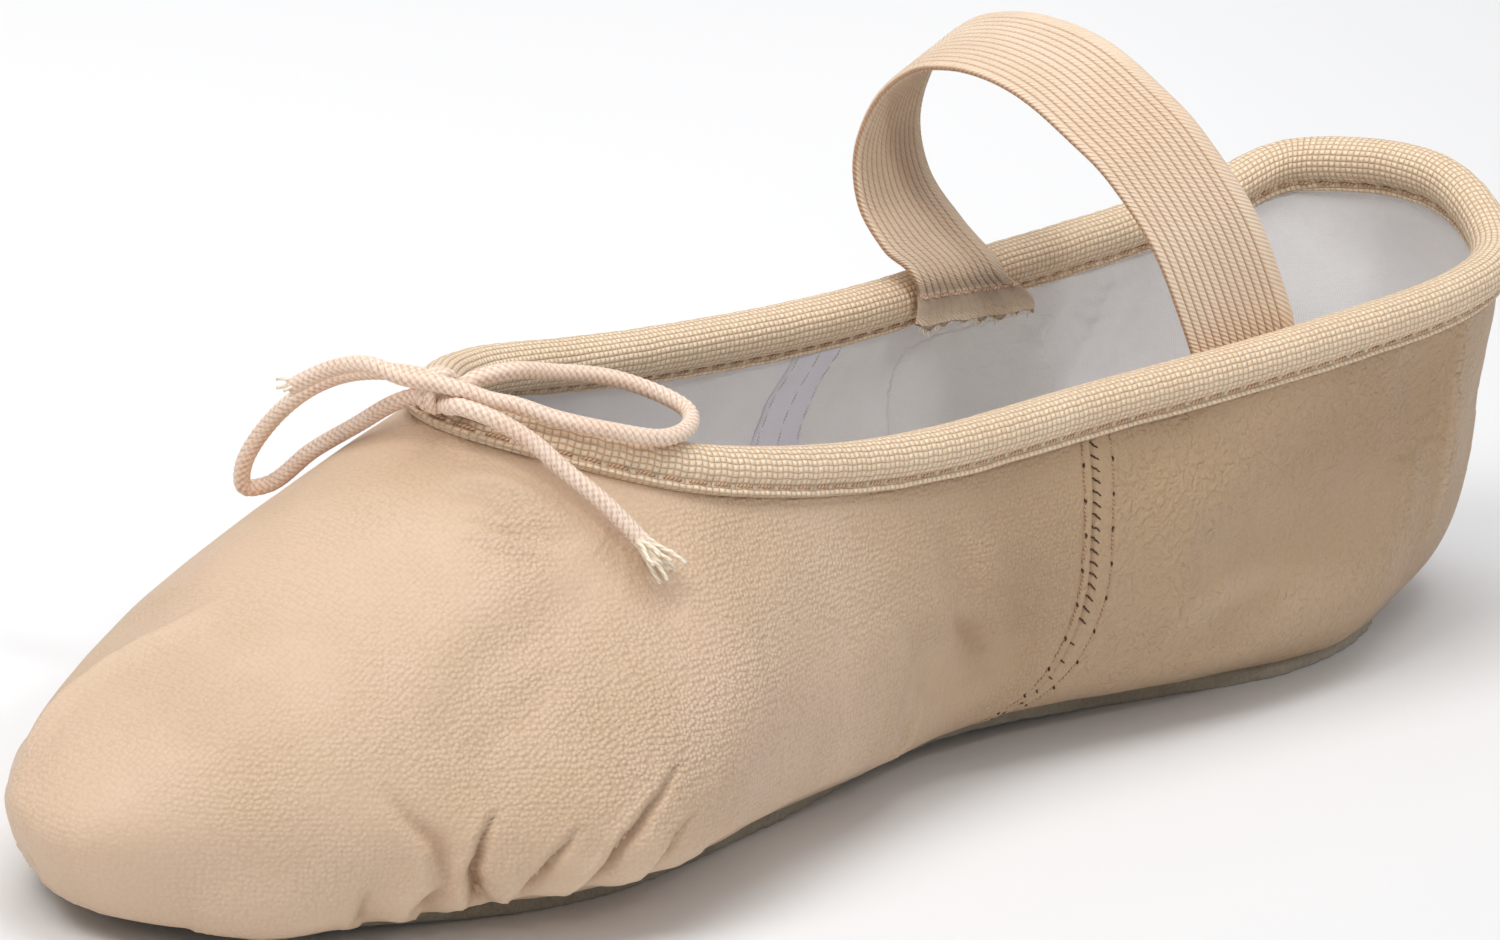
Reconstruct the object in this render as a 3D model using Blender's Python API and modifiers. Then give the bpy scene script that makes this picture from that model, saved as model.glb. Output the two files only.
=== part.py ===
"""Ballet slipper for a right foot, with an elastic instep strap and a drawstring bow.

Metres, +Z up. The toe points to -X, the heel to +X, and the wearer's left, the inner side of
the foot, is -Y. The outsole stands on Z = 0 at the ball and at the heel.
"""
from collections import namedtuple
from math import acos, cos, pi, radians, sin

import bmesh
import bpy
from mathutils import Vector

MM = 0.001

# Driving sizes, each one set by itself.
LENGTH = 235 * MM            # toe tip to the back of the heel
UPPER_WIDTH = 76 * MM        # across the upper at the ball
WALL = 1.3 * MM              # leather and its cotton lining
SOLE_START = 10 * MM         # toe tip to the front edge of the sole
SOLE_LENGTH = 209 * MM
SOLE_WIDTH = 50 * MM         # across the sole at the ball
OUTSOLE_THICKNESS = 2.0 * MM
INSOLE_THICKNESS = 1.5 * MM
TOE_SPRING = 2.0 * MM        # lift of the sole under the toes
ARCH_LIFT = 1.0 * MM         # lift of the sole under the waist
FLANGE = 8 * MM              # leather turned in under the foot, at toe and heel
OUTSOLE_INSET = 0.5 * MM     # outsole's edge inside the feather line, where the leather turns in
INSOLE_INSET = 1 * MM
THROAT = 61 * MM             # toe tip to the edge of the throat
OPENING_LENGTH = 167 * MM
OPENING_WIDTH = 43 * MM      # across the opening at the heel quarters
COLLAR_HEIGHT = 49.5 * MM    # the collar's edge at the throat
BULGE_HEIGHT = 17.5 * MM     # the widest line of the heel above the floor
BINDING_DROP = 4.6 * MM      # rim to the lower edge of the binding
BINDING_ROLL = 2.0 * MM      # how far the roll around the drawstring stands off the wall
BINDING_CLOTH = 0.8 * MM     # thickness of the stitched edge of the binding
STRAP_WIDTH = 17 * MM
STRAP_THICKNESS = 1.1 * MM
STRAP_AT = 173 * MM          # toe tip to the middle of the strap
STRAP_RISE = 30 * MM         # collar to the top of the strap's arch
CORD = 1.9 * MM              # drawstring
GAP = 0.3 * MM               # clearance between neighbouring pieces

# Closed outlines. `along` runs from toe to heel, the other columns are shares of the outline's
# own width and height. Side `inner` is -Y, side `outer` is +Y, which stands higher by `lift`.
Row = namedtuple("Row", "along inner outer height lift", defaults=(0,))
SOLE_OUTLINE = (
    Row(0.00, 0.00, 0.00, 1.0),
    Row(0.03, 0.25, 0.24, 1.0),
    Row(0.12, 0.39, 0.40, 1.0),
    Row(0.25, 0.50, 0.50, 1.0),
    Row(0.40, 0.41, 0.46, 1.0),
    Row(0.55, 0.28, 0.38, 1.0),
    Row(0.70, 0.29, 0.36, 1.0),
    Row(0.85, 0.38, 0.38, 1.0),
    Row(0.96, 0.26, 0.26, 1.0),
    Row(1.00, 0.00, 0.00, 1.0),
)
WIDEST_LINE = (
    Row(0.00, 0.00, 0.00, 0.64),
    Row(0.03, 0.145, 0.16, 0.68),
    Row(0.12, 0.325, 0.345, 0.67),
    Row(0.25, 0.50, 0.50, 0.70),
    Row(0.40, 0.40, 0.46, 0.80),
    Row(0.55, 0.32, 0.38, 0.88),
    Row(0.70, 0.35, 0.37, 0.95),
    Row(0.85, 0.30, 0.32, 1.15),
    Row(0.96, 0.165, 0.185, 1.40),
    Row(1.00, 0.00, 0.00, 1.45),
)
COLLAR_EDGE = (
    Row(0.00, 0.00, 0.00, 1.00),
    Row(0.03, 0.21, 0.21, 0.98),
    Row(0.12, 0.40, 0.40, 0.915, 0.015),
    Row(0.30, 0.45, 0.45, 0.845, 0.02),
    Row(0.50, 0.45, 0.46, 0.85, -0.01),
    Row(0.70, 0.50, 0.50, 0.885, -0.03),
    Row(0.88, 0.485, 0.485, 0.92, -0.025),
    Row(0.97, 0.33, 0.41, 0.945, 0.035),
    Row(1.00, 0.00, 0.00, 1.03),
)

# How the leather bends. `low` and `high` are the reaches of the wall's two handles, at its widest
# line and at the collar, as shares of the collar height, and `slope` the fall of the wall at the
# collar. `sag` is how far the leather's lower handle drops beside the sole, as a share of
# LEATHER_SAG.
Bend = namedtuple("Bend", "along low high slope sag")
LEATHER_SAG = 3.4 * MM
WALL_BENDS = (
    Bend(0.00, 0.18, 0.51, 34, 0.4),
    Bend(0.18, 0.20, 0.37, 49, 0.8),
    Bend(0.35, 0.24, 0.28, 64, 0.2),
    Bend(0.50, 0.27, 0.20, 78, 0.0),
    Bend(1.00, 0.26, 0.16, 85, 0.0),
)

# The middle of the strap, from its sewn end on the inner side to the one on the outer side.
# `across` is in half inner widths of the collar, `rise` in strap rises above the collar,
# `lean` in strap widths towards the heel. Per width, the strap's heel edge lies `twist` to the
# outer side of its toe edge and stands `tilt` above it.
Arch = namedtuple("Arch", "across rise lean twist tilt")
STRAP_ARCH = (
    Arch(-1.00, -0.22, 0.09, 0.00, 0.00),
    Arch(-1.00, -0.08, 0.05, 0.00, 0.00),
    Arch(-0.97, 0.10, -0.04, 0.00, 0.02),
    Arch(-0.78, 0.46, -0.30, 0.00, 0.10),
    Arch(-0.42, 0.72, -0.47, 0.02, 0.16),
    Arch(-0.08, 0.86, -0.58, 0.04, 0.21),
    Arch(0.28, 0.96, -0.65, 0.08, 0.23),
    Arch(0.62, 1.00, -0.71, 0.14, 0.22),
    Arch(0.96, 0.99, -0.76, 0.20, 0.20),
    Arch(1.28, 0.92, -0.80, 0.26, 0.16),
    Arch(1.52, 0.76, -0.85, 0.28, 0.12),
    Arch(1.61, 0.53, -0.88, 0.26, 0.08),
    Arch(1.51, 0.32, -0.86, 0.20, 0.04),
    Arch(1.27, 0.17, -0.80, 0.10, 0.00),
    Arch(1.03, 0.06, -0.70, 0.04, 0.00),
    Arch(1.00, -0.05, -0.62, 0.00, 0.00),
    Arch(1.00, -0.16, -0.61, 0.00, 0.00),
)

# The drawstring, in millimetres from the toe tip. Chosen by hand.
KNOT = (55.4, 0.2, 52.3)
KNOT_SIZE = (3.0, 3.2, 2.6)
LEFT_LOOP = (
    (55.8, 4.2, 52.4), (55.6, 8.5, 51.8), (54.8, 14.0, 49.8), (54.0, 18.5, 46.6),
    (53.4, 22.5, 42.0), (52.8, 25.0, 37.0), (53.8, 25.6, 33.6), (56.2, 23.8, 34.2),
    (56.8, 19.0, 39.2), (56.6, 12.5, 44.3), (56.4, 7.5, 48.2), (56.8, 4.2, 50.0),
)
RIGHT_LOOP = (
    (58.6, -2.9, 54.3), (63.0, -3.2, 54.1), (68.5, -4.2, 53.3), (75.0, -6.4, 52.3),
    (79.5, -9.8, 50.8), (80.9, -13.4, 49.6), (78.1, -16.3, 49.0), (72.9, -17.2, 48.9),
    (67.1, -14.7, 50.0), (62.7, -10.8, 50.9), (59.6, -7.6, 52.0), (57.4, -5.4, 52.4),
)
LEFT_END = ((51.9, 2.2, 53.6), (50.6, 6.6, 54.0), (50.0, 11.2, 52.2), (49.4, 16.0, 48.9))
RIGHT_END = (
    (54.2, -4.4, 51.8), (55.8, -7.8, 51.2), (58.4, -11.0, 49.3), (60.8, -14.2, 46.5),
    (63.4, -18.2, 43.4), (66.2, -22.1, 39.5),
)
CORD_STEP = 2.6 * CORD       # between two points of a cord's tube

# Grid counts.
AROUND = 72
LOWER_ROWS = 4
WALL_ROWS = 8
PLATE_ROWS = 5
STRAP_ROWS = 30
STRAP_COLUMNS = 4
WALL_STEP = 0.002            # of the wall's curve, when a length is measured down it


def cubic(knots, values, at):
    """Smooth value at `at` through `values` at `knots`, which may be numbers or vectors."""
    last = len(knots) - 2
    i = min(max(sum(k <= at for k in knots) - 1, 0), last)

    def slope(k):
        a, b = max(k - 1, 0), min(k + 1, len(knots) - 1)
        return (values[b] - values[a]) / (knots[b] - knots[a])

    span = knots[i + 1] - knots[i]
    t = (at - knots[i]) / span
    return (values[i] * (2 * t**3 - 3 * t**2 + 1) + slope(i) * (span * (t**3 - 2 * t**2 + t))
            + values[i + 1] * (3 * t**2 - 2 * t**3) + slope(i + 1) * (span * (t**3 - t**2)))


def outline_point(rows, start, length, width, height, angle):
    """Point of a closed outline: angle 0 is the toe end, pi the heel end, 0..pi the inner side."""
    knots, across, heights = [], [], []
    for row in rows:
        knots.append(acos(1 - 2 * row.along))
        across.append(-row.inner * width)
        heights.append(row.height * height)
    for row in rows[-2:0:-1]:
        knots.append(2 * pi - acos(1 - 2 * row.along))
        across.append(row.outer * width)
        heights.append((row.height + row.lift) * height)
    knots = [k - 2 * pi for k in knots[-2:]] + knots + [2 * pi + k for k in knots[:3]]
    across = across[-2:] + across + across[:3]
    heights = heights[-2:] + heights + heights[:3]
    angle %= 2 * pi
    x = start + length * (1 - cos(angle)) / 2
    return Vector((x, cubic(knots, across, angle), cubic(knots, heights, angle)))


def sole_lift(x):
    """Height of the outsole's underside: toe spring, ball, arch and heel."""
    s = (x - SOLE_START) / SOLE_LENGTH
    knots = (-0.1, 0.0, 0.18, 0.30, 0.45, 0.60, 0.74, 1.1)
    lifts = (1.4, 1.0, 0.08, 0.0, 0.0, 1.0, 0.0, 0.0)
    scale = TOE_SPRING if s < 0.38 else ARCH_LIFT
    return max(0.0, cubic(knots, lifts, s)) * scale


def sole_point(angle, inset, level):
    """Point of the sole's outline drawn in by `inset`, at `level` over the outsole's underside."""
    share = 1 - 2 * inset / SOLE_WIDTH
    p = outline_point(SOLE_OUTLINE, SOLE_START + inset, SOLE_LENGTH - 2 * inset,
                      SOLE_WIDTH * share, 0, angle)
    p.z = sole_lift(p.x) + level
    return p


def bend(column, share):
    """Value of a column of WALL_BENDS at a share of the way from toe to heel."""
    knots = [row.along for row in WALL_BENDS]
    return cubic(knots, [getattr(row, column) for row in WALL_BENDS], share)


def collar_point(angle):
    """Edge of the collar on the leather's outer face."""
    return outline_point(COLLAR_EDGE, THROAT, OPENING_LENGTH, OPENING_WIDTH,
                         COLLAR_HEIGHT, angle - 0.3 * sin(angle))


def wall_curve(angle):
    """Handles of the wall's curve from its widest line up to the collar."""
    share = (1 - cos(angle)) / 2
    widest = outline_point(WIDEST_LINE, 0, LENGTH, UPPER_WIDTH, BULGE_HEIGHT, angle)
    edge = collar_point(angle)
    ahead = (collar_point(angle + 0.02) - collar_point(angle - 0.02)).normalized()
    level_out = ahead.cross(Vector((0, 0, 1))).normalized()
    slope = radians(bend("slope", share))
    up = Vector((0, 0, 1)) * sin(slope) - level_out * cos(slope)
    low = widest + Vector((0, 0, COLLAR_HEIGHT * bend("low", share)))
    high = edge - up * COLLAR_HEIGHT * bend("high", share)
    return widest, low, high, edge


def wall_frame(angle, drop):
    """Point of the leather's outer face `drop` below the collar, the way up and the way out."""
    handles = wall_curve(angle)
    point, t = handles[3], 1.0
    gone = 0.0
    while gone < drop:
        t -= WALL_STEP
        below = bezier(*handles, t)
        gone += (point - below).length
        point = below
    up = (bezier(*handles, t + 0.005) - bezier(*handles, t - 0.005)).normalized()
    nearby = wall_curve(angle + 0.02), wall_curve(angle - 0.02)
    ahead = (bezier(*nearby[0], t) - bezier(*nearby[1], t)).normalized()
    out = ahead.cross(up).normalized()
    return point, up, out


def spoke(angle):
    """Outer face of the upper at one angle, from the turned-in flange up to the collar."""
    level = OUTSOLE_THICKNESS + GAP
    rows = [sole_point(angle, FLANGE, level), sole_point(angle, FLANGE / 2, level)]
    feather = sole_point(angle, 0, level)
    handles = wall_curve(angle)
    widest = handles[0]
    out = (widest - feather) * 0.6
    out.z = -LEATHER_SAG * bend("sag", (1 - cos(angle)) / 2)
    fall = Vector((0, 0, (widest.z - feather.z) * 0.6))
    for k in range(LOWER_ROWS):
        rows.append(bezier(feather, feather + out, widest - fall, widest, k / LOWER_ROWS))
    for k in range(WALL_ROWS + 1):
        rows.append(bezier(*handles, k / WALL_ROWS))
    return rows


def bezier(a, b, c, d, t):
    s = 1 - t
    return a * s**3 + b * (3 * s * s * t) + c * (3 * s * t * t) + d * t**3


def add_object(name, mesh_or_curve, collection, material):
    obj = bpy.data.objects.new(name, mesh_or_curve)
    collection.objects.link(obj)
    obj.data.materials.append(material)
    return obj


def grid_mesh(name, rows, around=False, closed=False):
    """Mesh from rows of points. `around` joins the last row to the first, `closed` the columns."""
    bm = bmesh.new()
    grid = [[bm.verts.new(p) for p in row] for row in rows]
    row_pairs = list(zip(grid, grid[1:])) + ([(grid[-1], grid[0])] if around else [])
    for a, b in row_pairs:
        columns = range(len(a) if closed else len(a) - 1)
        for j in columns:
            k = (j + 1) % len(a)
            corners = [a[j], b[j], b[k], a[k]]
            bm.faces.new(corners)
    bmesh.ops.remove_doubles(bm, verts=bm.verts, dist=0.00001)
    bmesh.ops.recalc_face_normals(bm, faces=bm.faces)
    mesh = bpy.data.meshes.new(name)
    bm.to_mesh(mesh)
    bm.free()
    mesh.shade_smooth()
    return mesh


def thicken(obj, thickness, offset):
    wall = obj.modifiers.new("wall", "SOLIDIFY")
    wall.thickness = thickness
    wall.offset = offset
    wall.use_even_offset = True
    wall.use_quality_normals = True


def face_up(mesh):
    """Turns an open sheet's faces so that its first one looks up."""
    if mesh.polygons[len(mesh.polygons) // 2].normal.z < 0:
        mesh.flip_normals()


def make_upper(collection, material):
    rows = [spoke(2 * pi * k / AROUND) for k in range(AROUND)]
    mesh = grid_mesh("upper", rows, around=True)
    if mesh.polygons[len(mesh.polygons) // 4].normal.z > 0:
        side = max(mesh.polygons, key=lambda f: f.center.y)
        if side.normal.y < 0:
            mesh.flip_normals()
    obj = add_object("upper", mesh, collection, material)
    thicken(obj, WALL, -1)
    return obj


def make_plate(name, inset, level, thickness, collection, material):
    """A sheet with the sole's outline, its underside at `level`."""
    rows = []
    steps = AROUND // 2
    for k in range(steps + 1):
        angle = pi * k / steps
        inner = sole_point(angle, inset, level + thickness)
        outer = sole_point(2 * pi - angle, inset, level + thickness)
        rows.append([inner.lerp(outer, j / PLATE_ROWS) for j in range(PLATE_ROWS + 1)])
    mesh = grid_mesh(name, rows)
    face_up(mesh)
    obj = add_object(name, mesh, collection, material)
    thicken(obj, thickness, -1)
    return obj


def binding_profile():
    """Cross-section of the binding as (out, up) from the leather's edge, outside first."""
    inside = -WALL - GAP
    cloth = BINDING_CLOTH
    drop = -BINDING_DROP
    roll = BINDING_ROLL
    return (
        (GAP + cloth, drop), (GAP + cloth, 0.86 * drop), (0.9 * roll, 0.6 * drop),
        (roll, 0.28 * drop), (0.75 * roll, 0.15 * roll), (0.15 * roll, 0.65 * roll),
        (inside - 0.1 * roll, 0.65 * roll), (inside - 0.6 * roll, 0.15 * roll),
        (inside - 0.85 * roll, 0.28 * drop), (inside - 0.75 * roll, 0.6 * drop),
        (inside - cloth, 0.86 * drop), (inside - cloth, drop),
        (inside, drop), (inside, GAP), (GAP, GAP), (GAP, drop),
    )


def make_binding(collection, material):
    rows = []
    for k in range(AROUND):
        row = []
        for away, rise in binding_profile():
            point, up, out = wall_frame(2 * pi * k / AROUND, max(-rise, 0))
            row.append(point + out * away + up * max(rise, 0))
        rows.append(row)
    mesh = grid_mesh("collar_binding", rows, around=True, closed=True)
    return add_object("collar_binding", mesh, collection, material)


def collar_at(x, far):
    """Angle at which the collar's edge reaches `x`, on the outer side if `far`."""
    low, high = 0.0, pi
    for _ in range(40):
        middle = (low + high) / 2
        if collar_point(middle).x < x:
            low = middle
        else:
            high = middle
    return 2 * pi - low if far else low


def make_strap(collection, material):
    clearance = WALL + 2 * GAP + 0.95 * BINDING_ROLL + STRAP_THICKNESS / 2
    sides, walls = [], []
    for row, far in ((STRAP_ARCH[0], False), (STRAP_ARCH[-1], True)):
        angle = collar_at(STRAP_AT + row.lean * STRAP_WIDTH, far)
        edge, _, out = wall_frame(angle, 0)
        sides.append(edge - out * clearance)
        wall = collar_point(angle + 0.02) - collar_point(angle - 0.02)
        walls.append(wall.normalized() * (-1 if far else 1))
    middle = (sides[0] + sides[1]) / 2
    half = (sides[1].y - sides[0].y) / 2
    knots = [k / (len(STRAP_ARCH) - 1) for k in range(len(STRAP_ARCH))]
    points = [Vector((STRAP_AT + row.lean * STRAP_WIDTH, middle.y + row.across * half,
                      middle.z + row.rise * STRAP_RISE)) for row in STRAP_ARCH]
    rows = []
    for k in range(STRAP_ROWS + 1):
        t = k / STRAP_ROWS
        p = cubic(knots, points, t)
        along = (cubic(knots, points, min(t + 0.01, 1)) - cubic(knots, points, max(t - 0.01, 0)))
        along.normalize()
        wide = walls[0].lerp(walls[1], t)
        wide.y += cubic(knots, [row.twist for row in STRAP_ARCH], t)
        wide.z = cubic(knots, [row.tilt for row in STRAP_ARCH], t)
        wide = (wide - along * wide.dot(along)).normalized() * STRAP_WIDTH
        rows.append([p + wide * (j / STRAP_COLUMNS - 0.5) for j in range(STRAP_COLUMNS + 1)])
    mesh = grid_mesh("instep_strap", rows)
    obj = add_object("instep_strap", mesh, collection, material)
    thicken(obj, STRAP_THICKNESS, 0)
    return obj


def make_cord(name, route, collection, material):
    points = [Vector(p) * MM for p in route]
    lengths = [0.0]
    for a, b in zip(points, points[1:]):
        lengths.append(lengths[-1] + (b - a).length)
    count = round(lengths[-1] / CORD_STEP)
    curve = bpy.data.curves.new(name, "CURVE")
    curve.dimensions = "3D"
    spline = curve.splines.new("POLY")
    spline.points.add(count)
    for k, point in enumerate(spline.points):
        point.co = (*cubic(lengths, points, lengths[-1] * k / count), 1)
    curve.bevel_depth = CORD / 2
    curve.bevel_resolution = 2
    curve.use_fill_caps = True
    return add_object(name, curve, collection, material)


def make_knot(collection, material):
    bm = bmesh.new()
    bmesh.ops.create_uvsphere(bm, u_segments=16, v_segments=10, radius=1)
    bmesh.ops.scale(bm, vec=Vector(KNOT_SIZE) * MM, verts=bm.verts)
    mesh = bpy.data.meshes.new("drawstring_knot")
    bm.to_mesh(mesh)
    bm.free()
    mesh.shade_smooth()
    obj = add_object("drawstring_knot", mesh, collection, material)
    obj.location = Vector(KNOT) * MM
    return obj


def make_material(name, colour, roughness):
    material = bpy.data.materials.new(name)
    material.use_nodes = True
    shader = material.node_tree.nodes["Principled BSDF"]
    shader.inputs["Base Color"].default_value = (*colour, 1)
    shader.inputs["Roughness"].default_value = roughness
    shader.inputs["Metallic"].default_value = 0.0
    return material


def main():
    for obj in list(bpy.data.objects):
        bpy.data.objects.remove(obj, do_unlink=True)
    slipper = bpy.data.collections.new("ballet_slipper")
    bpy.context.scene.collection.children.link(slipper)

    leather = make_material("pink_beige_leather", (0.80, 0.60, 0.43), 0.55)
    suede = make_material("grey_brown_suede", (0.20, 0.17, 0.13), 0.9)
    canvas = make_material("insole_cotton", (0.76, 0.74, 0.70), 0.85)
    tape = make_material("binding_tape", (0.72, 0.54, 0.38), 0.8)
    elastic = make_material("strap_elastic", (0.84, 0.70, 0.55), 0.75)
    cotton_cord = make_material("drawstring_cotton", (0.82, 0.64, 0.52), 0.7)

    make_upper(slipper, leather)
    make_plate("outsole", OUTSOLE_INSET, 0, OUTSOLE_THICKNESS, slipper, suede)
    make_plate("insole", INSOLE_INSET, OUTSOLE_THICKNESS + WALL + 2 * GAP, INSOLE_THICKNESS,
               slipper, canvas)
    make_binding(slipper, tape)
    make_strap(slipper, elastic)
    make_knot(slipper, cotton_cord)
    make_cord("drawstring_left_loop", LEFT_LOOP, slipper, cotton_cord)
    make_cord("drawstring_right_loop", RIGHT_LOOP, slipper, cotton_cord)
    make_cord("drawstring_left_end", LEFT_END, slipper, cotton_cord)
    make_cord("drawstring_right_end", RIGHT_END, slipper, cotton_cord)
    for obj in slipper.objects:
        obj.location.x -= LENGTH / 2


main()
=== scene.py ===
"""Ballet slipper: leather, canvas binding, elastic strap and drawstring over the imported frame.

Sizes are in millimetres from the toe tip, with X towards the heel, -Y the inner side of the foot
and Z up, until in_frame() turns them into the frame's metres.
"""
from collections import namedtuple
from math import acos, cos, pi, radians, sin

import bmesh
import bpy
import numpy as np
from mathutils import Matrix, Vector, noise
from mathutils.bvhtree import BVHTree
from mathutils.kdtree import KDTree


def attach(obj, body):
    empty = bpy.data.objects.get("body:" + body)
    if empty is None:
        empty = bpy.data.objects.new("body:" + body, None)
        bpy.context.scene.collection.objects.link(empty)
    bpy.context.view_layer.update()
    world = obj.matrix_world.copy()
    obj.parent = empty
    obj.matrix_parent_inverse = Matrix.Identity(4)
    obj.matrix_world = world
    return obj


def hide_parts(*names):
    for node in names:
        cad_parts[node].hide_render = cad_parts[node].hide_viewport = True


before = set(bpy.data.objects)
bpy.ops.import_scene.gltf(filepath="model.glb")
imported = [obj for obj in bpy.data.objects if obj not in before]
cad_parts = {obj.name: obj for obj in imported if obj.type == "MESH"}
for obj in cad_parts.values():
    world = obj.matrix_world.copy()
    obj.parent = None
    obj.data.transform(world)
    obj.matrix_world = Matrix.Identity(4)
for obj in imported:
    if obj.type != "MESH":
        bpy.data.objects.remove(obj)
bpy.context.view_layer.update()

MM = 0.001

# The slipper's own sizes, as in its CAD.
LENGTH = 235
UPPER_WIDTH = 76
WALL = 1.3
SOLE_START = 10
SOLE_LENGTH = 209
SOLE_WIDTH = 50
OUTSOLE_THICKNESS = 2.0
TOE_SPRING = 2.0
ARCH_LIFT = 1.0
FLANGE = 8
OUTSOLE_INSET = 0.5
THROAT = 61
OPENING_LENGTH = 167
OPENING_WIDTH = 43
COLLAR_HEIGHT = 49.5
BULGE_HEIGHT = 17.5
BINDING_DROP = 4.6
BINDING_ROLL = 2.0
BINDING_CLOTH = 0.8
STRAP_WIDTH = 17
STRAP_THICKNESS = 1.1
STRAP_AT = 173
STRAP_RISE = 30
CORD = 1.9
GAP = 0.3
LEATHER_SAG = 3.4            # where SAG is 1

# Leather colours as they look in an even light, the painted highlight and shades, and the pebbles'
# height.
LEATHER_MAIN = (216, 188, 160)
LEATHER_PINK = (220, 189, 164)
LEATHER_DEEP = (207, 178, 147)
# Painted highlight for pebble tops and ridges; painted shade for pebble gaps, creases, hollows and
# seam grooves.
LEATHER_HIGHLIGHT = (234, 210, 185)
LEATHER_SHADE = (150, 108, 78)
# Painted shade over the quarter, and where along the shoe it begins and where it is strongest.
LEATHER_QUARTER_SHADE = (178, 149, 115)
QUARTER_SHADE_FROM, QUARTER_SHADE_TO = -0.024, 0.012        # metres along the shoe from its middle
GRAIN_HEIGHT = 0.24
PEBBLE = 0.54
PEBBLE_RANDOM = 0.58         # 0 would lay the pebbles out in a grid
WARP_SCALE, WARP_BY = 180.0, 0.0006           # how the pebbles' rows wander, per metre and metres
INSOLE_WEAVE = 0.0005        # metres from thread to thread
TWIST_WIDTH = 0.7            # of a thread's or a rib's slanting strands, round it

# Shares of the way along and of the width on either side. The outer side stands higher by `lift`.
Row = namedtuple("Row", "along inner outer height lift", defaults=(1, 0))
SOLE_OUTLINE = (
    Row(0.00, 0.00, 0.00), Row(0.03, 0.25, 0.24), Row(0.12, 0.39, 0.40), Row(0.25, 0.50, 0.50),
    Row(0.40, 0.41, 0.46), Row(0.55, 0.28, 0.38), Row(0.70, 0.29, 0.36), Row(0.85, 0.38, 0.38),
    Row(0.96, 0.26, 0.26), Row(1.00, 0.00, 0.00),
)
WIDEST_LINE = (
    Row(0.00, 0.00, 0.00, 0.64), Row(0.03, 0.145, 0.16, 0.68), Row(0.12, 0.325, 0.345, 0.67),
    Row(0.25, 0.50, 0.50, 0.70), Row(0.40, 0.40, 0.46, 0.80), Row(0.55, 0.32, 0.38, 0.88),
    Row(0.70, 0.35, 0.37, 0.95), Row(0.85, 0.30, 0.32, 1.15), Row(0.96, 0.165, 0.185, 1.40),
    Row(1.00, 0.00, 0.00, 1.45),
)
COLLAR_EDGE = (
    Row(0.00, 0.00, 0.00, 1.00), Row(0.03, 0.21, 0.21, 0.98),
    Row(0.12, 0.40, 0.40, 0.915, 0.015), Row(0.30, 0.45, 0.45, 0.845, 0.02),
    Row(0.50, 0.45, 0.46, 0.85, -0.01), Row(0.70, 0.50, 0.50, 0.885, -0.03),
    Row(0.88, 0.485, 0.485, 0.92, -0.025), Row(0.97, 0.33, 0.41, 0.945, 0.035),
    Row(1.00, 0.00, 0.00, 1.03),
)
Bend = namedtuple("Bend", "along low high slope")
WALL_BENDS = (
    Bend(0.00, 0.18, 0.51, 34),
    Bend(0.18, 0.20, 0.37, 49),
    Bend(0.35, 0.24, 0.28, 64),
    Bend(0.50, 0.27, 0.20, 78),
    Bend(1.00, 0.26, 0.16, 85),
)
# The leather's own sag beside the sole, by the share of the way to the heel. It hangs low at the
# toe and leaves the sole's edge open along the ball and the waist.
SAG_AT = (0.00, 0.06, 0.12, 0.18, 0.30, 1.00)
SAG = (1.1, 1.1, 0.3, -0.6, -0.6, 0.0)
Arch = namedtuple("Arch", "across rise lean twist tilt")
STRAP_ARCH = (
    Arch(-1.00, -0.22, 0.09, 0.00, 0.00),
    Arch(-1.00, -0.08, 0.05, 0.00, 0.00),
    Arch(-0.97, 0.10, -0.04, 0.00, 0.02),
    Arch(-0.78, 0.46, -0.30, 0.00, 0.10),
    Arch(-0.42, 0.72, -0.47, 0.02, 0.16),
    Arch(-0.08, 0.86, -0.58, 0.04, 0.21),
    Arch(0.28, 0.96, -0.65, 0.08, 0.23),
    Arch(0.62, 1.00, -0.71, 0.14, 0.22),
    Arch(0.96, 0.99, -0.76, 0.20, 0.20),
    Arch(1.28, 0.92, -0.80, 0.26, 0.16),
    Arch(1.52, 0.76, -0.85, 0.28, 0.12),
    Arch(1.61, 0.53, -0.88, 0.26, 0.08),
    Arch(1.51, 0.32, -0.86, 0.20, 0.04),
    Arch(1.27, 0.17, -0.80, 0.10, 0.00),
    Arch(1.03, 0.06, -0.70, 0.04, 0.00),
    Arch(1.00, -0.05, -0.62, 0.00, 0.00),
    Arch(1.00, -0.16, -0.61, 0.00, 0.00),
)

# The photograph's camera: its turn round the slipper, its roll, and the point that it looks at.
CAMERA_AZIMUTH = -49.9
CAMERA_ELEVATION = 18.4
CAMERA_ROLL = 6.45
CAMERA_DISTANCE = 1300
CAMERA_TARGET = (108.6, 0, 33.6)
CAMERA_LENS = 279.2          # for a sensor 36 mm wide

# The drawstring's route. Each strand leaves the casing at the throat, goes round its own loop,
# and comes out of the knot again as the tail on the other side.
LEFT_STRAND = (
    (59.2, 1.4, 48.6), (58.2, 2.2, 50.6), (56.8, 2.8, 52.4), (55.6, 8.5, 51.8), (54.8, 14.0, 49.8),
    (54.0, 18.5, 46.6), (53.4, 22.5, 42.0), (52.8, 25.0, 37.0), (53.8, 25.6, 33.6),
    (56.2, 23.8, 34.2), (56.8, 19.0, 39.2), (56.6, 12.5, 44.3), (56.4, 7.5, 48.2),
    (56.8, 4.2, 50.0), (55.9, 0.4, 50.6), (54.6, -2.4, 51.2), (54.2, -4.4, 51.8),
    (55.8, -7.8, 51.2), (58.4, -11.0, 49.3), (60.8, -14.2, 46.5), (63.4, -18.2, 43.4),
    (66.2, -22.1, 39.5),
)
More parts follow.
